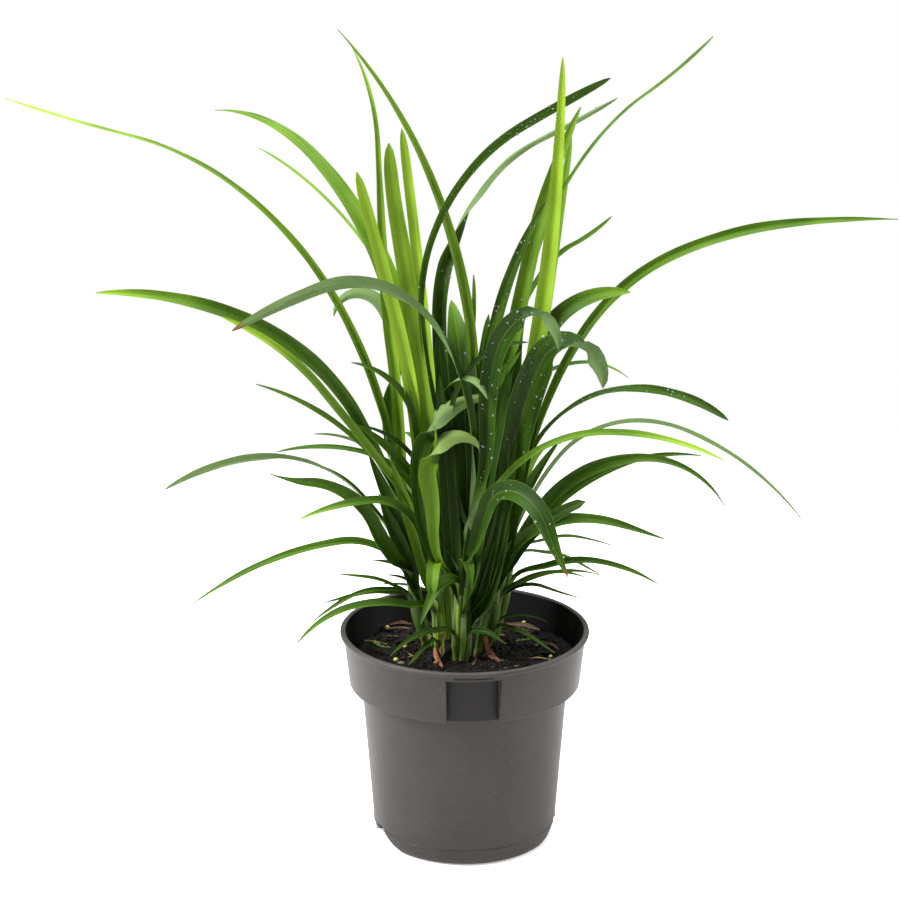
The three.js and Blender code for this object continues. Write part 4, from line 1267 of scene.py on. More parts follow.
@dataclass
class Pot:
    """The nursery pot: turned outline with soft corners, and label recess, slot and drains cut into it.

    Outlines are listed as radius, height and how far the corner is rounded. overlap is how far a part
    reaches into what it joins or past what it cuts.
    """

    sides: int = 192
    soft: float = 0.7
    height: float = 124.5
    wall: float = 1.4
    lip_radius: float = 70.7
    lip_height: float = 3.0
    collar_top: float = 68.7
    collar_bottom: float = 65.6
    collar_height: float = 93.0
    wall_top: float = 58.8
    wall_bottom: float = 52.3
    underside: tuple[tuple[float, float, float], ...] = (
        (0, 0, 0), (15, 0, 0.7), (22, 8.4, 0.7), (44.2, 8.4, 0.7))
    foot_ring: tuple[tuple[float, float, float], ...] = (
        (44.5, 0, 0.7), (47.2, 0, 0.7), (50, 1.2, 1.0), (51.3, 4, 1.0), (51.85, 9.6, 0.15),
        (52.65, 10.1, 0.15), (52.3, 10.7, 0.2))
    floor_top: tuple[tuple[float, float, float], ...] = ((20.6, 10, 0.7), (13.6, 1.4, 0.7), (0, 1.4, 0))
    floor_level: float = 10.0
    label_bearing: float = 274.0
    label_half: float = 13.0
    label_frame: float = 1.6
    label_radius: float = 61.4
    label_heights: tuple[float, float] = (92.0, 119.0)
    ledge: float = 122.8
    slot_radius: float = 66.8
    ribs: tuple[float, ...] = (-5.0, 5.0)
    rib_half: float = 0.5
    lines: tuple[float, ...] = (120.1, 121.0)
    line_half: float = 9.0
    line_height: float = 0.35
    line_proud: float = 0.18
    notches: tuple[float, ...] = (-9.0, 98.0, 204.0)
    notch_half: tuple[float, float] = (26.0, 5.0)
    notch_radius: float = 41.5
    notch_height: float = 8.0
    slit_radius: float = 45.1
    slit_half: float = 4.5
    slit_heights: tuple[float, float] = (7.4, 11.5)
    holes: int = 8
    hole_radius: float = 4.0
    hole_circle: float = 34.0
    hole_sides: int = 24
    hole_heights: tuple[float, float] = (5.0, 14.0)
    reach: float = 3.0
    overlap: float = 0.6
    recess_shade: float = 0.9

    def corners(self) -> list[tuple[float, float, float]]:
        """List the outline's corners, from the middle of the underside round to the middle of the floor.

        Returns:
            Radius, height and how far the corner is rounded, for each.
        """
        soft, wall, lip = self.soft, self.wall, self.height - self.lip_height
        return [
            *self.underside, *self.foot_ring,
            (self.wall_top, self.collar_height, soft), (self.collar_bottom, self.collar_height, 1.0),
            (self.collar_top, lip, 1.0), (self.lip_radius, lip + 0.9, 1.0),
            (self.lip_radius, self.height, 1.0), (self.collar_top - wall, self.height, 0.8),
            (self.collar_bottom - wall, self.collar_height + wall, soft),
            (self.wall_top - wall, self.collar_height + wall, soft),
            (self.wall_bottom - wall, self.floor_level, 2.0), *self.floor_top,
        ]

    def outline(self, arc: int = 4) -> list[tuple[float, float]]:
        """Draw each corner of the outline as a short curve.

        Args:
            arc: how many steps a curve has.

        Returns:
            Radius and height of the outline's points.
        """
        corners = self.corners()
        points: list[tuple[float, float]] = []
        for i, (radius, height, soft) in enumerate(corners):
            here = np.array([radius, height], float)
            if not soft:
                points.append((radius, height))
                continue
            before = np.array(corners[i - 1][:2], float) - here
            after = np.array(corners[i + 1][:2], float) - here
            start = here + before / np.linalg.norm(before) * min(soft, np.linalg.norm(before) * 0.4)
            end = here + after / np.linalg.norm(after) * min(soft, np.linalg.norm(after) * 0.4)
            for k in range(arc + 1):
                s = k / arc
                points.append(tuple(start * (1 - s) ** 2 + here * 2 * s * (1 - s) + end * s * s))
        return points

    def turned_body(self) -> bpy.types.Mesh:
        """Turn the outline about the pot's axis.

        Returns:
            The closed body, before anything is cut into it.
        """
        outline = self.outline()
        points: list[Array] = []
        for radius, height in outline[1:-1]:
            points.extend(polar(radius, 360 * k / self.sides, height) for k in range(self.sides))
        faces = tube_faces(len(outline) - 2, self.sides)[:-2]
        low, high = len(points), len(points) + 1
        last = (len(outline) - 3) * self.sides
        points += [np.array([0, 0, outline[0][1]]), np.array([0, 0, outline[-1][1]])]
        for k in range(self.sides):
            following = (k + 1) % self.sides
            faces.append((low, following, k))
            faces.append((high, last + k, last + following))
        return mesh_of("pot_body", points, faces)

    def sector(
        self, inner: float, outer: float, heights: tuple[float, float], bearing: float,
        halves: tuple[float, float],
    ) -> bpy.types.Mesh:
        """Make a block between two radii and two heights.

        Args:
            inner: its inner radius.
            outer: its outer radius.
            heights: its lowest and highest level.
            bearing: the bearing of its middle.
            halves: half its angle at the lowest and at the highest level.

        Returns:
            The block's mesh.
        """
        steps = max(2, round(halves[0] * 1.2))
        rings = []
        for i in range(steps + 1):
            share = 2 * i / steps - 1
            for radius, level in ((inner, 0), (inner, 1), (outer, 1), (outer, 0)):
                rings.append(polar(radius, bearing + share * halves[level], heights[level]))
        return mesh_of("block", rings, tube_faces(steps + 1, 4))

    def label_block(self) -> bpy.types.Mesh:
        """Make the block behind the label recess.

        Returns:
            The block's mesh.
        """
        half = self.label_half + self.label_frame
        return self.sector(
            self.label_radius - self.wall, self.collar_bottom,
            (self.collar_height + self.overlap, self.ledge), self.label_bearing, (half, half))

    def cuts(self) -> list[bpy.types.Mesh]:
        """Make what is cut from the pot: the recess, the slot over it, the notches, slits and drains.

        Returns:
            The cutters' meshes.
        """
        low, high = self.label_heights
        both = (self.label_half, self.label_half)
        made = [
            self.sector(
                self.label_radius, self.lip_radius + self.reach, (low, high), self.label_bearing, both),
            self.sector(
                self.label_radius, self.slot_radius, (high - self.overlap, self.height + self.reach),
                self.label_bearing, both),
        ]
        outside = self.wall_bottom + self.reach
        slit = (self.slit_half, self.slit_half)
        for bearing in self.notches:
            made.append(self.sector(
                self.notch_radius, outside, (-self.overlap, self.notch_height), bearing, self.notch_half))
            made.append(self.sector(self.slit_radius, outside, self.slit_heights, bearing, slit))
        for i in range(self.holes):
            centre = polar(self.hole_circle, 360 * i / self.holes)
            rings = [
                centre + polar(self.hole_radius, 360 * k / self.hole_sides, level)
                for level in self.hole_heights for k in range(self.hole_sides)]
            made.append(mesh_of("drain", rings, tube_faces(2, self.hole_sides)))
        return made

    def ribs_and_lines(self) -> list[bpy.types.Mesh]:
        """Make the ribs that cross the slot and the fine lines above the recess.

        Returns:
            Their meshes.
        """
        low, high = self.label_heights[1] + self.overlap, self.ledge - self.overlap
        made = [
            self.sector(
                self.label_radius - self.overlap, self.slot_radius + self.overlap, (low, high),
                self.label_bearing + offset, (self.rib_half, self.rib_half))
            for offset in self.ribs]
        for level in self.lines:
            made.append(self.sector(
                self.slot_radius, self.collar_top + self.line_proud, (level, level + self.line_height),
                self.label_bearing, (self.line_half, self.line_half)))
        return made

    def combine(self, body: bpy.types.Object, parts: Sequence[bpy.types.Mesh], operation: str) -> None:
        """Join parts to a body, or cut them from it, one after another.

        Args:
            body: the body, which is changed.
            parts: the parts' meshes.
            operation: "UNION" to join them or "DIFFERENCE" to cut them.
        """
        for mesh in parts:
            tool = placed("tool", mesh)
            modifier = body.modifiers.new("cut", "BOOLEAN")
            modifier.object = tool
            modifier.operation = operation
            modifier.solver = "EXACT"
            made = after_modifiers(body)
            body.modifiers.clear()
            body.data = made
            bpy.data.objects.remove(tool)

    def shadow(self, vertex: bpy.types.MeshVertex) -> float:
        """Find how dark the pot looks at a point, where the sky doesn't reach it.

        Args:
            vertex: a point of the pot.

        Returns:
            The share, from 0 on the outside to 1 on the inner wall.
        """
        outward = Vector((vertex.co.x, vertex.co.y, 0.0))
        recessed = abs(outward.length - self.label_radius * MM) < 0.1 * MM
        hidden = max(0.0, -2 * vertex.normal.dot(outward.normalized()))
        return max(hidden, self.recess_shade if recessed else 0.0)

    def build(self) -> None:
        """Build the pot and dress it."""
        body = placed("pot_body", self.turned_body())
        self.combine(body, [self.label_block()], "UNION")
        self.combine(body, self.cuts(), "DIFFERENCE")
        self.combine(body, self.ribs_and_lines(), "UNION")
        mesh = body.data
        mesh.name = "pot_body"
        bpy.data.objects.remove(body)
        mesh.shade_smooth()
        mesh.set_sharp_from_angle(angle=math.radians(32))
        # painted shade: each point's share of painted shade, on the inner wall and in the label recess
        mark(mesh, "inside", [(self.shadow(vertex), 0.0, 0.0) for vertex in mesh.vertices])
        piece(mesh, PotPlastic(), ["pot"])


@dataclass
class PottingMix:
    """The potting mix: a crumbly top that fills the pot, with chips and crumbs of bark on it.

    sides_below lists radius and height of the block's sides inside the pot. waves lists how many times a
    long swell rises round the top, and how far it drifts for each mm outwards. coarse and fine are the
    heights of two sizes of crumb, and chips lists each kind's name, number on a square metre, smallest
    and largest size, roughness, cuts along it and seed. A chip is as long, wide and thick as chip_least
    to chip_most times its size, and chip_seeds are for its shape, its turn and its tone.
    """

    sides: int = 240
    rings: int = 63
    level: float = 106.0
    mound: float = 2.5
    bump: float = 0.4
    waves: tuple[tuple[int, float], ...] = ((3, 0.09), (7, -0.21))
    collar: float = 65.6
    wall: float = 1.4
    gap: float = 0.35
    label_bearing: float = 274.0
    label_inset: float = 15.4
    label_taper: float = 1.2
    label_radius: float = 59.6
    coarse: float = 1.3
    coarse_size: float = 6.0
    fine: float = 0.5
    fine_size: float = 1.3
    sides_below: tuple[tuple[float, float], ...] = (
        (48.5, 10.4), (50.5, 12.5), (57.0, 93.0), (57.0, 94.8), (64, 95))
    keep_out: float = 2.0
    chips: tuple[tuple[str, float, float, float, float, int, int], ...] = (
        ("bark_crumbs", 420000.0, 0.4, 1.1, 1.0, 2, 11),
        ("bark_chips", 60000.0, 1.2, 3.0, 2.4, 4, 23),
    )
    chip_side: float = 1.5
    chip_least: tuple[float, float, float] = (0.7, 0.45, 0.3)
    chip_most: tuple[float, float, float] = (1.7, 0.9, 0.6)
    chip_tilt: float = 0.5
    chip_seeds: tuple[int, int, int] = (5, 9, 3)
    lumps_per_metre: float = 520.0

    def edge(self, bearing: float) -> float:
        """Find the mix's outer radius, which is less where the label recess stands in.

        Args:
            bearing: the direction out from the pot's axis.

        Returns:
            The radius.
        """
        full = self.collar - self.wall - self.gap
        off = abs((bearing - self.label_bearing + 180) % 360 - 180)
        free = smoothstep(off, self.label_inset, self.label_inset + self.label_taper)
        return self.label_radius + (full - self.label_radius) * free

    def surface_height(self, radius: float, bearing: float) -> float:
        """Find the height of the mix's top.

        Args:
            radius: the distance from the pot's axis.
            bearing: the direction out from it.

        Returns:
            The height above the floor.
        """
        angle = math.radians(bearing)
        outward = radius / self.collar
        height = self.level + self.mound * math.cos(math.pi / 2 * outward)
        for turns, drift in self.waves:
            height += self.bump * outward * math.sin(turns * angle + drift * radius)
        place = Vector((radius * math.cos(angle), radius * math.sin(angle), 0.0))
        height += self.coarse * noise.fractal(place / self.coarse_size, 1.0, 2.0, 4)
        return height + self.fine * noise.noise(place / self.fine_size)

    def block(self) -> bpy.types.Mesh:
        """Make the whole block of mix, closed below inside the pot.

        Returns:
            The block's mesh.
        """
        bearings = [360 * k / self.sides for k in range(self.sides)]
        points: list[Array] = []
        for radius, height in self.sides_below:
            points.extend(polar(min(radius, self.edge(b)), b, height) for b in bearings)
        for i in range(self.rings):
            share = 1 - i / (self.rings + 1)
            for b in bearings:
                radius = self.edge(b) * share
                points.append(polar(radius, b, self.surface_height(radius, b)))
        faces = tube_faces(len(self.sides_below) + self.rings, self.sides)
        return mesh_of("potting_mix_block", points, faces, sharp=180)

    def litter_ground(self, block: bpy.types.Mesh) -> bpy.types.Mesh:
        """Find the part of the top that chips lie on.

        Args:
            block: the block of mix.

        Returns:
            A mesh of the faces that look up and stay clear of the pot.
        """
        points = np.array([v.co[:] for v in block.vertices])
        limit = (self.label_radius - self.keep_out) * MM
        faces = [
            tuple(f.vertices) for f in block.polygons
            if f.normal.z > 0.2 and all(
                points[i][2] > 0.1 and math.hypot(*points[i][:2]) < limit for i in f.vertices)]
        ground = bpy.data.meshes.new("litter_ground")
        ground.from_pydata(points.tolist(), [], faces)
        return ground

    def chip_tree(self) -> Tree:
        """Make the tree that scatters flattened bark chips, turns them at random and roughens them.

        Returns:
            The tree.
        """
        tree, host, given = new_tree(
            "bark_chips", ("Density", "Smallest", "Largest", "Roughness"),
            ("Cuts along", "Cuts across", "Seed"))
        points = add(tree, "GeometryNodeDistributePointsOnFaces", {
            "Mesh": host, "Density": given["Density"], "Seed": given["Seed"]})
        normal = points.node.outputs["Rotation"]
        shape_seed, turn_seed, tone_seed = self.chip_seeds
        chip = add(tree, "GeometryNodeMeshCube", {
            "Size": (self.chip_side,) * 3, "Vertices X": given["Cuts along"],
            "Vertices Y": given["Cuts across"]})
        size = add(tree, "FunctionNodeRandomValue", {
            2: given["Smallest"], 3: given["Largest"], "Seed": given["Seed"]}, out=1, data_type="FLOAT")
        shape = add(tree, "FunctionNodeRandomValue", {
            0: self.chip_least, 1: self.chip_most, "Seed": shape_seed}, out=0, data_type="FLOAT_VECTOR")
        shape = add(tree, "ShaderNodeVectorMath", {0: shape, "Scale": size}, operation="SCALE")
        spin = add(tree, "FunctionNodeRandomValue", {
            0: (-self.chip_tilt, -self.chip_tilt, 0.0), 1: (self.chip_tilt, self.chip_tilt, math.tau),
            "Seed": turn_seed}, out=0, data_type="FLOAT_VECTOR")
        spin = add(tree, "FunctionNodeEulerToRotation", {0: spin})
        turn = add(tree, "FunctionNodeRotateRotation", {
            "Rotation": normal, "Rotate By": spin}, rotation_space="LOCAL")
        chips = add(tree, "GeometryNodeInstanceOnPoints", {
            "Points": points, "Instance": chip, "Rotation": turn, "Scale": shape})
        lot = add(tree, "FunctionNodeRandomValue", {"Seed": tone_seed}, out=1, data_type="FLOAT")
        chips = add(tree, "GeometryNodeStoreNamedAttribute", {
            "Geometry": chips, "Name": "chip", "Value": lot}, data_type="FLOAT", domain="INSTANCE")
        chips = add(tree, "GeometryNodeRealizeInstances", {"Geometry": chips})
        place = add(tree, "GeometryNodeInputPosition")
        lumps = add(tree, "ShaderNodeTexNoise", {
            "Vector": place, "Scale": self.lumps_per_metre, "Detail": 2.0}, out=1)
        lumps = add(tree, "ShaderNodeVectorMath", {0: lumps, 1: (0.5, 0.5, 0.5)}, operation="SUBTRACT")
        lumps = add(
            tree, "ShaderNodeVectorMath", {0: lumps, "Scale": given["Roughness"]}, operation="SCALE")
        chips = add(tree, "GeometryNodeSetPosition", {"Geometry": chips, "Offset": lumps})
        chips = add(tree, "GeometryNodeSetMaterial", {
            "Geometry": chips, "Material": Compost("bark_chips", lively=1.0).material()})
        add(tree, "NodeGroupOutput", {0: chips})
        return tree

    def build(self) -> None:
        """Build the mix, and the crumbs and chips on it."""
        block = self.block()
        ground = self.litter_ground(block)
        tree = self.chip_tree()
        piece(block, Compost(), ["potting_mix"])
        for name, density, low, high, rough, cuts, seed in self.chips:
            mesh = grown(name, ground.copy(), tree, {
                "Density": density, "Smallest": low * MM, "Largest": high * MM,
                "Roughness": rough * MM, "Cuts along": cuts, "Cuts across": max(2, cuts - 1), "Seed": seed})
            mesh.shade_smooth()
            mesh.set_sharp_from_angle(angle=math.radians(30))
            piece(mesh, Compost("bark_chips", lively=1.0))


@dataclass(frozen=True)
class Scrap:
    """A bit of litter: a bent, tapered strip or rod that lies on the mix.

    path is its midline as x, y and height above the mix's level, width and thickness are its largest
    ones, and ends is the share of them left at its two ends. turn rolls it about its midline, and curl
    lifts its edges.
    """

    path: tuple[tuple[float, float, float], ...]
    width: float
    thickness: float
    ends: tuple[float, float] = (0.5, 0.3)
    turn: float = 0.0
    curl: float = 0.0


@dataclass
class Litter:
    """What lies on the mix: slivers of bark, straw, prills of fertiliser, moss, pebbles and dry sheaths.

    prills and pebbles list x, y and radius, and moss lists x and y of each tuft. rough is how ragged the
    scraps are, against their own size. pole is where a ball's first ring lies, as a share of the way from
    its lowest point to its highest, and arc is how far its rings reach from there.
    """

    level: float = 107.2
    stations: int = 9
    sides: int = 10
    rough: float = 0.16
    edge_notches: float = 5.0
    seed_step: float = 3.1
    lumps_per_mm: float = 0.7
    ball_rings: int = 8
    pole: float = 0.04
    arc: float = 0.92
    ball_rough: float = 0.12
    ball_lumps: float = 1.7
    sunk: float = 0.7
    tan_bark: tuple[Scrap, ...] = (
        Scrap(((-44, 49, 0.6), (-37, 52, 1.2), (-31, 50, 0.7)), 4.2, 1.4),
        Scrap(((-46, 42, 0.5), (-38, 44, 1.0), (-31, 43, 0.5)), 3.0, 1.0, (0.3, 0.2)),
        Scrap(((25, 50, 0.6), (35, 47, 1.6), (44, 40, 0.8)), 4.6, 1.3, (0.6, 0.3), 12),
        Scrap(((20, 45, 0.5), (31, 43, 1.1), (41, 37, 0.5)), 2.6, 0.9, (0.4, 0.2)),
        Scrap(((-12, 52, 0.4), (-4, 55, 1.0), (2, 53, 0.5)), 3.0, 1.0),
        Scrap(((44, 22, 0.4), (51, 16, 1.0), (54, 9, 0.4)), 3.2, 1.0),
    )
    olive_bark: tuple[Scrap, ...] = (
        Scrap(((-31, -27, 0.6), (-22, -33, 1.3), (-13, -38, 0.8)), 5.0, 1.2, (0.5, 0.35), 8),
        Scrap(((-48, 33, 0.5), (-43, 31, 0.9), (-38, 30, 0.5)), 2.4, 0.8),
        Scrap(((-40, -30, 0.4), (-33, -38, 0.8), (-28, -44, 0.4)), 2.4, 0.8, (0.3, 0.2)),
        Scrap(((16, -42, 0.4), (25, -40, 0.9), (32, -36, 0.4)), 2.2, 0.7, (0.3, 0.2)),
    )
    dark_bark: tuple[Scrap, ...] = (
        Scrap(((-50, 10, 0.8), (-44, 4, 2.0), (-38, 0, 1.0)), 7.0, 2.2, (0.7, 0.5), 10),
        Scrap(((-40, 20, 1.0), (-32, 22, 2.2), (-26, 20, 1.2)), 6.5, 2.4, (0.7, 0.6), -12),
        Scrap(((-46, -16, 0.8), (-38, -20, 1.8), (-31, -17, 1.0)), 6.0, 2.0, (0.6, 0.5)),
        Scrap(((36, -22, 0.8), (43, -16, 1.9), (48, -8, 0.9)), 6.4, 2.0, (0.6, 0.5), 14),
        Scrap(((24, -30, 0.7), (32, -31, 1.7), (38, -28, 0.8)), 5.4, 1.8, (0.6, 0.5)),
        Scrap(((40, 4, 0.8), (47, 2, 1.9), (54, 4, 1.0)), 5.8, 2.0, (0.7, 0.5), -8),
        Scrap(((-6, 46, 0.8), (4, 44, 2.0), (12, 46, 1.0)), 6.6, 2.2, (0.7, 0.5)),
        Scrap(((-30, 34, 0.8), (-22, 38, 1.9), (-15, 40, 0.9)), 5.6, 2.0, (0.6, 0.6), 9),
        Scrap(((34, 30, 0.8), (40, 26, 1.8), (47, 27, 0.9)), 5.4, 1.8, (0.6, 0.5)),
        Scrap(((2, -34, 0.7), (10, -38, 1.6), (18, -36, 0.8)), 5.2, 1.7, (0.6, 0.5), -10),
        Scrap(((-56, -4, 0.7), (-52, -10, 1.6), (-47, -14, 0.8)), 5.0, 1.8, (0.6, 0.5)),
    )
    straw: tuple[Scrap, ...] = (
        Scrap(((-58, 24, 0.5), (-52, 20, 1.3), (-45, 18, 0.6)), 1.0, 0.7, (0.9, 0.7)),
        Scrap(((30, -8, 0.5), (41, -6, 2.0), (54, -9, 0.6)), 0.9, 0.7, (0.8, 0.5)),
        Scrap(((-25, -8, 0.6), (-30, -2, 1.2), (-33, 6, 0.5)), 0.8, 0.6, (0.8, 0.5)),
        Scrap(((20, -20, 0.4), (30, -17, 1.2), (37, -14, 0.4)), 0.8, 0.6, (0.8, 0.5)),
        Scrap(((-22, 28, 0.6), (-14, 33, 1.6), (-4, 34, 0.6)), 0.8, 0.6, (0.8, 0.5)),
        Scrap(((8, 30, 0.6), (18, 33, 1.4), (26, 30, 0.6)), 0.9, 0.6, (0.8, 0.5)),
    )
    roots: tuple[Scrap, ...] = (
        Scrap(((5, -2, 2.0), (7, -9, 1.6), (4, -15, 1.0), (6, -22, 0.4)), 0.9, 0.9, (0.9, 0.5)),
        Scrap(((14, -4, 2.0), (20, -10, 1.8), (27, -12, 0.6)), 0.8, 0.8, (0.9, 0.4)),
        Scrap(((-24, 4, 1.6), (-30, -4, 1.4), (-37, -4, 0.4)), 0.8, 0.8, (0.9, 0.4)),
    )
    dry_sheaths: tuple[Scrap, ...] = (
        Scrap(((-15.5, 1.5, 12), (-17.0, -3, 5.5), (-14.5, -12, 2.4), (-12.5, -21, 2.2)),
              4.4, 0.35, (0.9, 0.25), 70, 0.9),
        Scrap(((-12.2, -3.4, 15), (-13.5, -5.2, 7), (-13.5, -10, 2.2), (-16, -16, 1.2)),
              3.4, 0.3, (0.9, 0.2), 60, 0.8),
        Scrap(((-22, 11, 14), (-24, 9.5, 6), (-27, 6, 1.6), (-32, 4, 0.9)),
              3.2, 0.3, (0.9, 0.2), 50, 0.8),
        Scrap(((11.5, -1.5, 13), (13.5, -4, 5.5), (17, -8, 1.6), (21, -10, 0.9)),
              3.4, 0.3, (0.9, 0.2), 50, 0.8),
    )
    prills: tuple[tuple[float, float, float], ...] = (
        (-17, -14, 1.5), (35, 51, 1.5), (-45, 44, 1.35), (-39, -8, 1.6), (26, -33, 1.3), (-34, 14, 1.2),
        (49, -2, 1.2))
    pebbles: tuple[tuple[float, float, float], ...] = ((-36, -13, 2.1), (41, 14, 1.7))
    moss: tuple[tuple[float, float], ...] = (
        (-51, 17), (-49, 14.5), (-47, 12), (-44, 11), (-46, 15), (31, 22), (34, 23), (37, 24), (-52, 20),
        (-25, 46))
    moss_leaves: int = 9
    moss_turns: tuple[float, float] = (137.5, 40.0)
    moss_reach: tuple[float, float] = (0.9, 0.12)
    moss_heights: tuple[float, float, float] = (0.3, 1.3, 1.5)
    moss_droop: float = 0.05

    def tube(self, scrap: Scrap, seed: int) -> Part:
        """Make one scrap.

        Args:
            scrap: the scrap.
            seed: a number that makes its ragged edges its own.

        Returns:
            Its points and faces.
        """
        path = np.array(scrap.path, float)
        steps = np.linspace(0, len(path) - 1, self.stations)
        middle = np.stack([self.eased(path[:, i], steps) for i in range(3)], 1)
        middle[:, 2] += self.level
        points: list[Array] = []
        for i, centre in enumerate(middle):
            share = i / (self.stations - 1)
            ahead = middle[min(i + 1, self.stations - 1)] - middle[max(i - 1, 0)]
            ahead /= np.linalg.norm(ahead)
            aside = np.cross(ahead, (0, 0, 1.0))
            aside /= np.linalg.norm(aside)
            aside = turned(aside, ahead, math.radians(scrap.turn))
            up = np.cross(aside, ahead)
            first, last = scrap.ends
            full = math.sin(math.pi * share) ** 0.5 if 0 < share < 1 else 0.0
            scale = max(full, first * (1 - share) + last * share)
            notch = Vector((share * self.edge_notches, seed * self.seed_step, 0.0))
            ragged = 1 + self.rough * 2 * noise.noise(notch)
            for k in range(self.sides):
                angle = math.tau * k / self.sides
                wide = math.cos(angle) * scrap.width / 2 * scale * ragged
                bow = scrap.curl * (wide * wide) / max(scrap.width, 1.0)
                rise = math.sin(angle) * scrap.thickness / 2 * scale + bow
                lump = self.rough * scrap.thickness * noise.noise(
                    Vector(centre * self.lumps_per_mm + polar(1.0, math.degrees(angle))))
                points.append(centre + aside * wide + up * (rise + lump))
        return points, tube_faces(self.stations, self.sides)

    def eased(self, values: Array, steps: Array) -> Array:
        """Follow one coordinate of a path, with its corners rounded.

        Args:
            values: the coordinate at the path's points.
            steps: places along the path, in points from its start.

        Returns:
            The coordinate at each place.
        """
        sharp = np.interp(steps, range(len(values)), values)
        soft = sharp.copy()
        soft[1:-1] = (sharp[:-2] + 2 * sharp[1:-1] + sharp[2:]) / 4
        return soft

    def ball(self, place: tuple[float, float], radius: float, squash: float) -> Part:
        """Make a slightly lumpy ball that rests on the mix.

        Args:
            place: its x and y.
            radius: its radius.
            squash: how high it is, as a share of its width.

        Returns:
            Its points and faces.
        """
        points = []
        centre = np.array([*place, self.level + radius * squash * self.sunk])
        for i in range(self.ball_rings + 1):
            tilt = math.pi * (self.pole + self.arc * i / self.ball_rings)
            for k in range(self.sides):
                out = polar(math.sin(tilt), 360 * k / self.sides, -math.cos(tilt) * squash)
                lump = 1 + self.ball_rough * noise.noise(Vector(out * self.ball_lumps + centre))
                points.append(centre + out * radius * lump)
        return points, tube_faces(self.ball_rings + 1, self.sides)

    def sprigs(self) -> list[Scrap]:
        """Make the small leaves of the moss, which spiral up round the middle of each tuft.

        Returns:
            The leaves of all tufts.
        """
        made = []
        own_turn, tuft_turn = self.moss_turns
        shortest, longer = self.moss_reach
        foot, middle, top = self.moss_heights
        for i, (x, y) in enumerate(self.moss):
            for k in range(self.moss_leaves):
                tip = polar(shortest + longer * k, own_turn * k + tuft_turn * i)
                bend = (x + tip[0] * 0.6, y + tip[1] * 0.6, middle - self.moss_droop * k)
                path = ((x, y, foot), bend, (x + tip[0], y + tip[1], top))
                made.append(Scrap(path, 0.9, 0.35, (0.4, 0.15)))
        return made

    def build(self) -> None:
        """Build all the litter, each kind as one piece."""
        wet_bark = Compost("wet_bark", tones=(
            (0.0, "#060504"), (0.5, "#120e0b"), (0.8, "#241a13"), (0.95, "#3a2b20"), (1.0, "#4a3828")))
        for name, scraps, finish in (
            ("tan_bark", self.tan_bark, Plain("weathered_bark", "#1e150c", "#66492c", 1.1, 0.75, 0.3)),
            ("olive_bark", self.olive_bark, Plain("mossy_bark", "#17150c", "#524c2a", 1.1, 0.75, 0.3)),
            ("dark_bark", self.dark_bark, wet_bark),
            ("straw", self.straw, Plain("dry_straw", "#6b5128", "#b39a62", 0.9, 0.6, 0.1)),
            ("roots", self.roots, Plain("root_bark", "#4c2f1a", "#8f6a43", 0.8, 0.6, 0.1)),
            ("dry_sheaths", self.dry_sheaths,
             Plain("dry_leaf_sheath", "#4a2517", "#a8704a", 0.8, 0.55, 0.15)),
            ("moss", self.sprigs(), Plain("moss_leaves", "#2f5212", "#7fa52c", 0.6, 0.6, 0.05)),
        ):
            parts = joined(self.tube(scrap, seed) for seed, scrap in enumerate(scraps))
            piece(mesh_of(name, *parts, sharp=60), finish)
        for name, places, squash, finish in (
            ("prills", self.prills, 0.92, Plain("coated_fertiliser", "#8f8a3c", "#c4c070", 1.4, 0.35, 0.05)),
            ("pebble", self.pebbles, 0.6, Plain("pebble", "#4b463f", "#79736a", 1.2, 0.6, 0.1)),
        ):
            parts = joined(self.ball((x, y), radius, squash) for x, y, radius in places)
            piece(mesh_of(name, *parts, sharp=80), finish)


@dataclass(frozen=True)
class PaperFloor(Finish):
    """White photographic paper under the plant, which fades out into the white studio round it."""

    name: str = "white_paper"
    paper: str = "#f6f6f6"
    fade: tuple[float, float] = (330.0, 900.0)
    glow: float = 0.42

    def surface(self, tree: Tree) -> Socket:
        """Build the nodes.

        Args:
            tree: the material's node tree.

        Returns:
            The surface shader's output.
        """
        place = add(tree, "ShaderNodeTexCoord", out=3)
        far = add(tree, "ShaderNodeVectorMath", {0: place}, operation="LENGTH", out=1)
        near, gone = (f * MM for f in self.fade)
        share = add(tree, "ShaderNodeMapRange", {0: far, 1: near, 2: gone}, interpolation_type="SMOOTHSTEP")
        paper = add(tree, "ShaderNodeBsdfPrincipled", {
            "Base Color": linear(self.paper), "Roughness": 0.9, "Emission Color": linear("#ffffff"),
            "Emission Strength": self.glow})
        clear = add(tree, "ShaderNodeBsdfTransparent", {"Color": linear("#ffffff")})
        return add(tree, "ShaderNodeMixShader", {0: share, 1: paper, 2: clear})


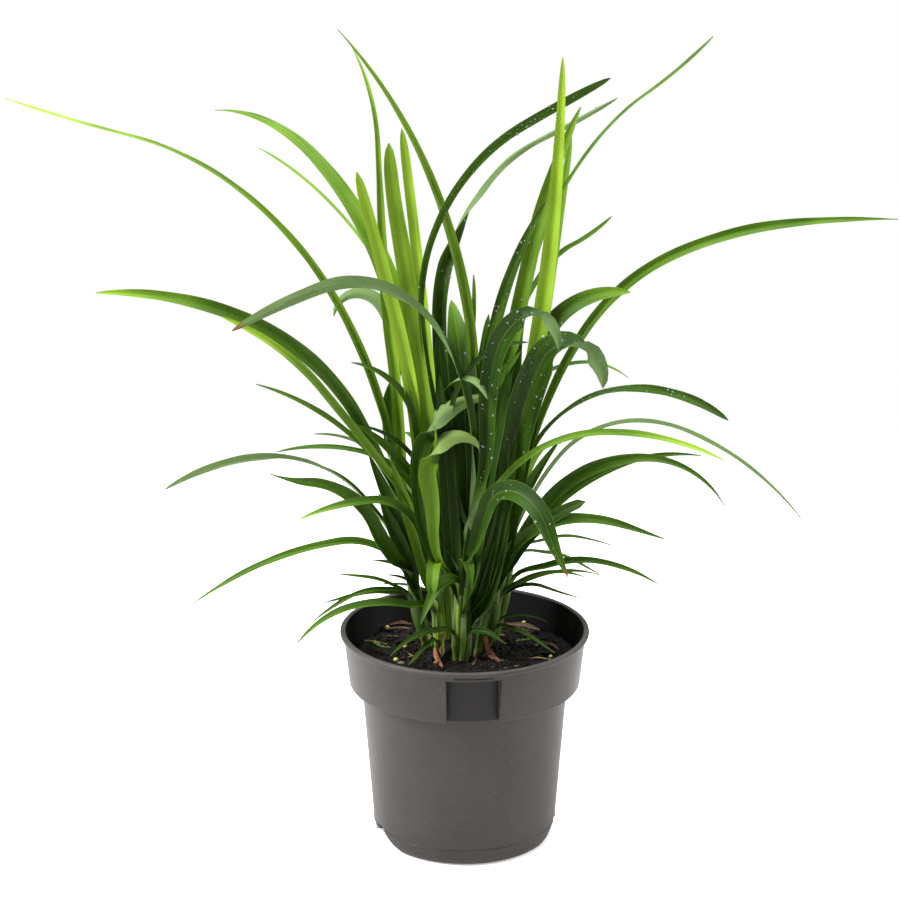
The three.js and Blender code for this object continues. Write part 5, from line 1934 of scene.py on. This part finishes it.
@dataclass
class Studio:
    """Camera, pale floor and soft lights.

    Places are in metres. lamps lists each softbox's place, the length of its sides and its power in
    watts, all turned towards aim, and surround is how bright the white room is beside the lamps.
    """

    lens: float = 118.0
    sensor: float = 36.0
    camera_place: tuple[float, float, float] = (-0.00833, -1.567, 0.7258)
    pitch: float = 17.54
    floor_radius: float = 920.0
    floor_sides: int = 96
    surround: float = 0.14
    lamps: tuple[tuple[tuple[float, float, float], float, float], ...] = (
        ((-1.3, -0.45, 1.15), 0.8, 58.0),
        ((1.4, 0.0, 0.8), 0.8, 19.0),
        ((0.1, 0.1, 1.7), 1.2, 34.0),
    )
    aim: tuple[float, float, float] = (0.0, 0.0, 0.2)

    def build_camera(self) -> None:
        """Place the camera where the photograph was taken from."""
        data = bpy.data.cameras.new("camera")
        data.lens, data.sensor_width = self.lens, self.sensor
        camera = placed("camera", data)
        camera.location = self.camera_place
        camera.rotation_euler = (math.radians(90 - self.pitch), 0.0, 0.0)
        bpy.context.scene.camera = camera

    def build_floor(self) -> None:
        """Lay the pale floor."""
        turns = range(self.floor_sides)
        points = [polar(self.floor_radius, 360 * k / self.floor_sides) for k in turns]
        mesh = mesh_of("floor", points, [tuple(turns)])
        mesh.materials.append(PaperFloor().material())
        placed("floor", mesh)

    def build_lights(self) -> None:
        """Hang the soft lights and set the white world."""
        for i, (place, size, power) in enumerate(self.lamps):
            data = bpy.data.lights.new(f"softbox_{i + 1}", "AREA")
            data.shape, data.size, data.energy = "SQUARE", size, power
            lamp = placed(data.name, data)
            lamp.location = place
            lamp.rotation_euler = (Vector(self.aim) - Vector(place)).to_track_quat("-Z", "Y").to_euler()
        world = bpy.data.worlds.new("white_studio")
        world.use_nodes = True
        tree = world.node_tree
        tree.nodes.clear()
        seen = add(tree, "ShaderNodeLightPath")
        strength = add(tree, "ShaderNodeMapRange", {0: seen, 3: self.surround, 4: 1.0})
        light = add(tree, "ShaderNodeBackground", {"Color": linear("#ffffff"), "Strength": strength})
        add(tree, "ShaderNodeOutputWorld", {"Surface": light})
        bpy.context.scene.world = world

    def build(self) -> None:
        """Set up the whole studio."""
        self.build_camera()
        self.build_floor()
        self.build_lights()
        bpy.context.scene.view_settings.view_transform = "Standard"


def main() -> None:
    """Build the studio and every sub-assembly in order."""
    logging.basicConfig(level=logging.INFO, format="%(message)s")
    Studio().build()
    Pot().build()
    PottingMix().build()
    Litter().build()
    Plant().build()


if __name__ == "__main__":
    main()
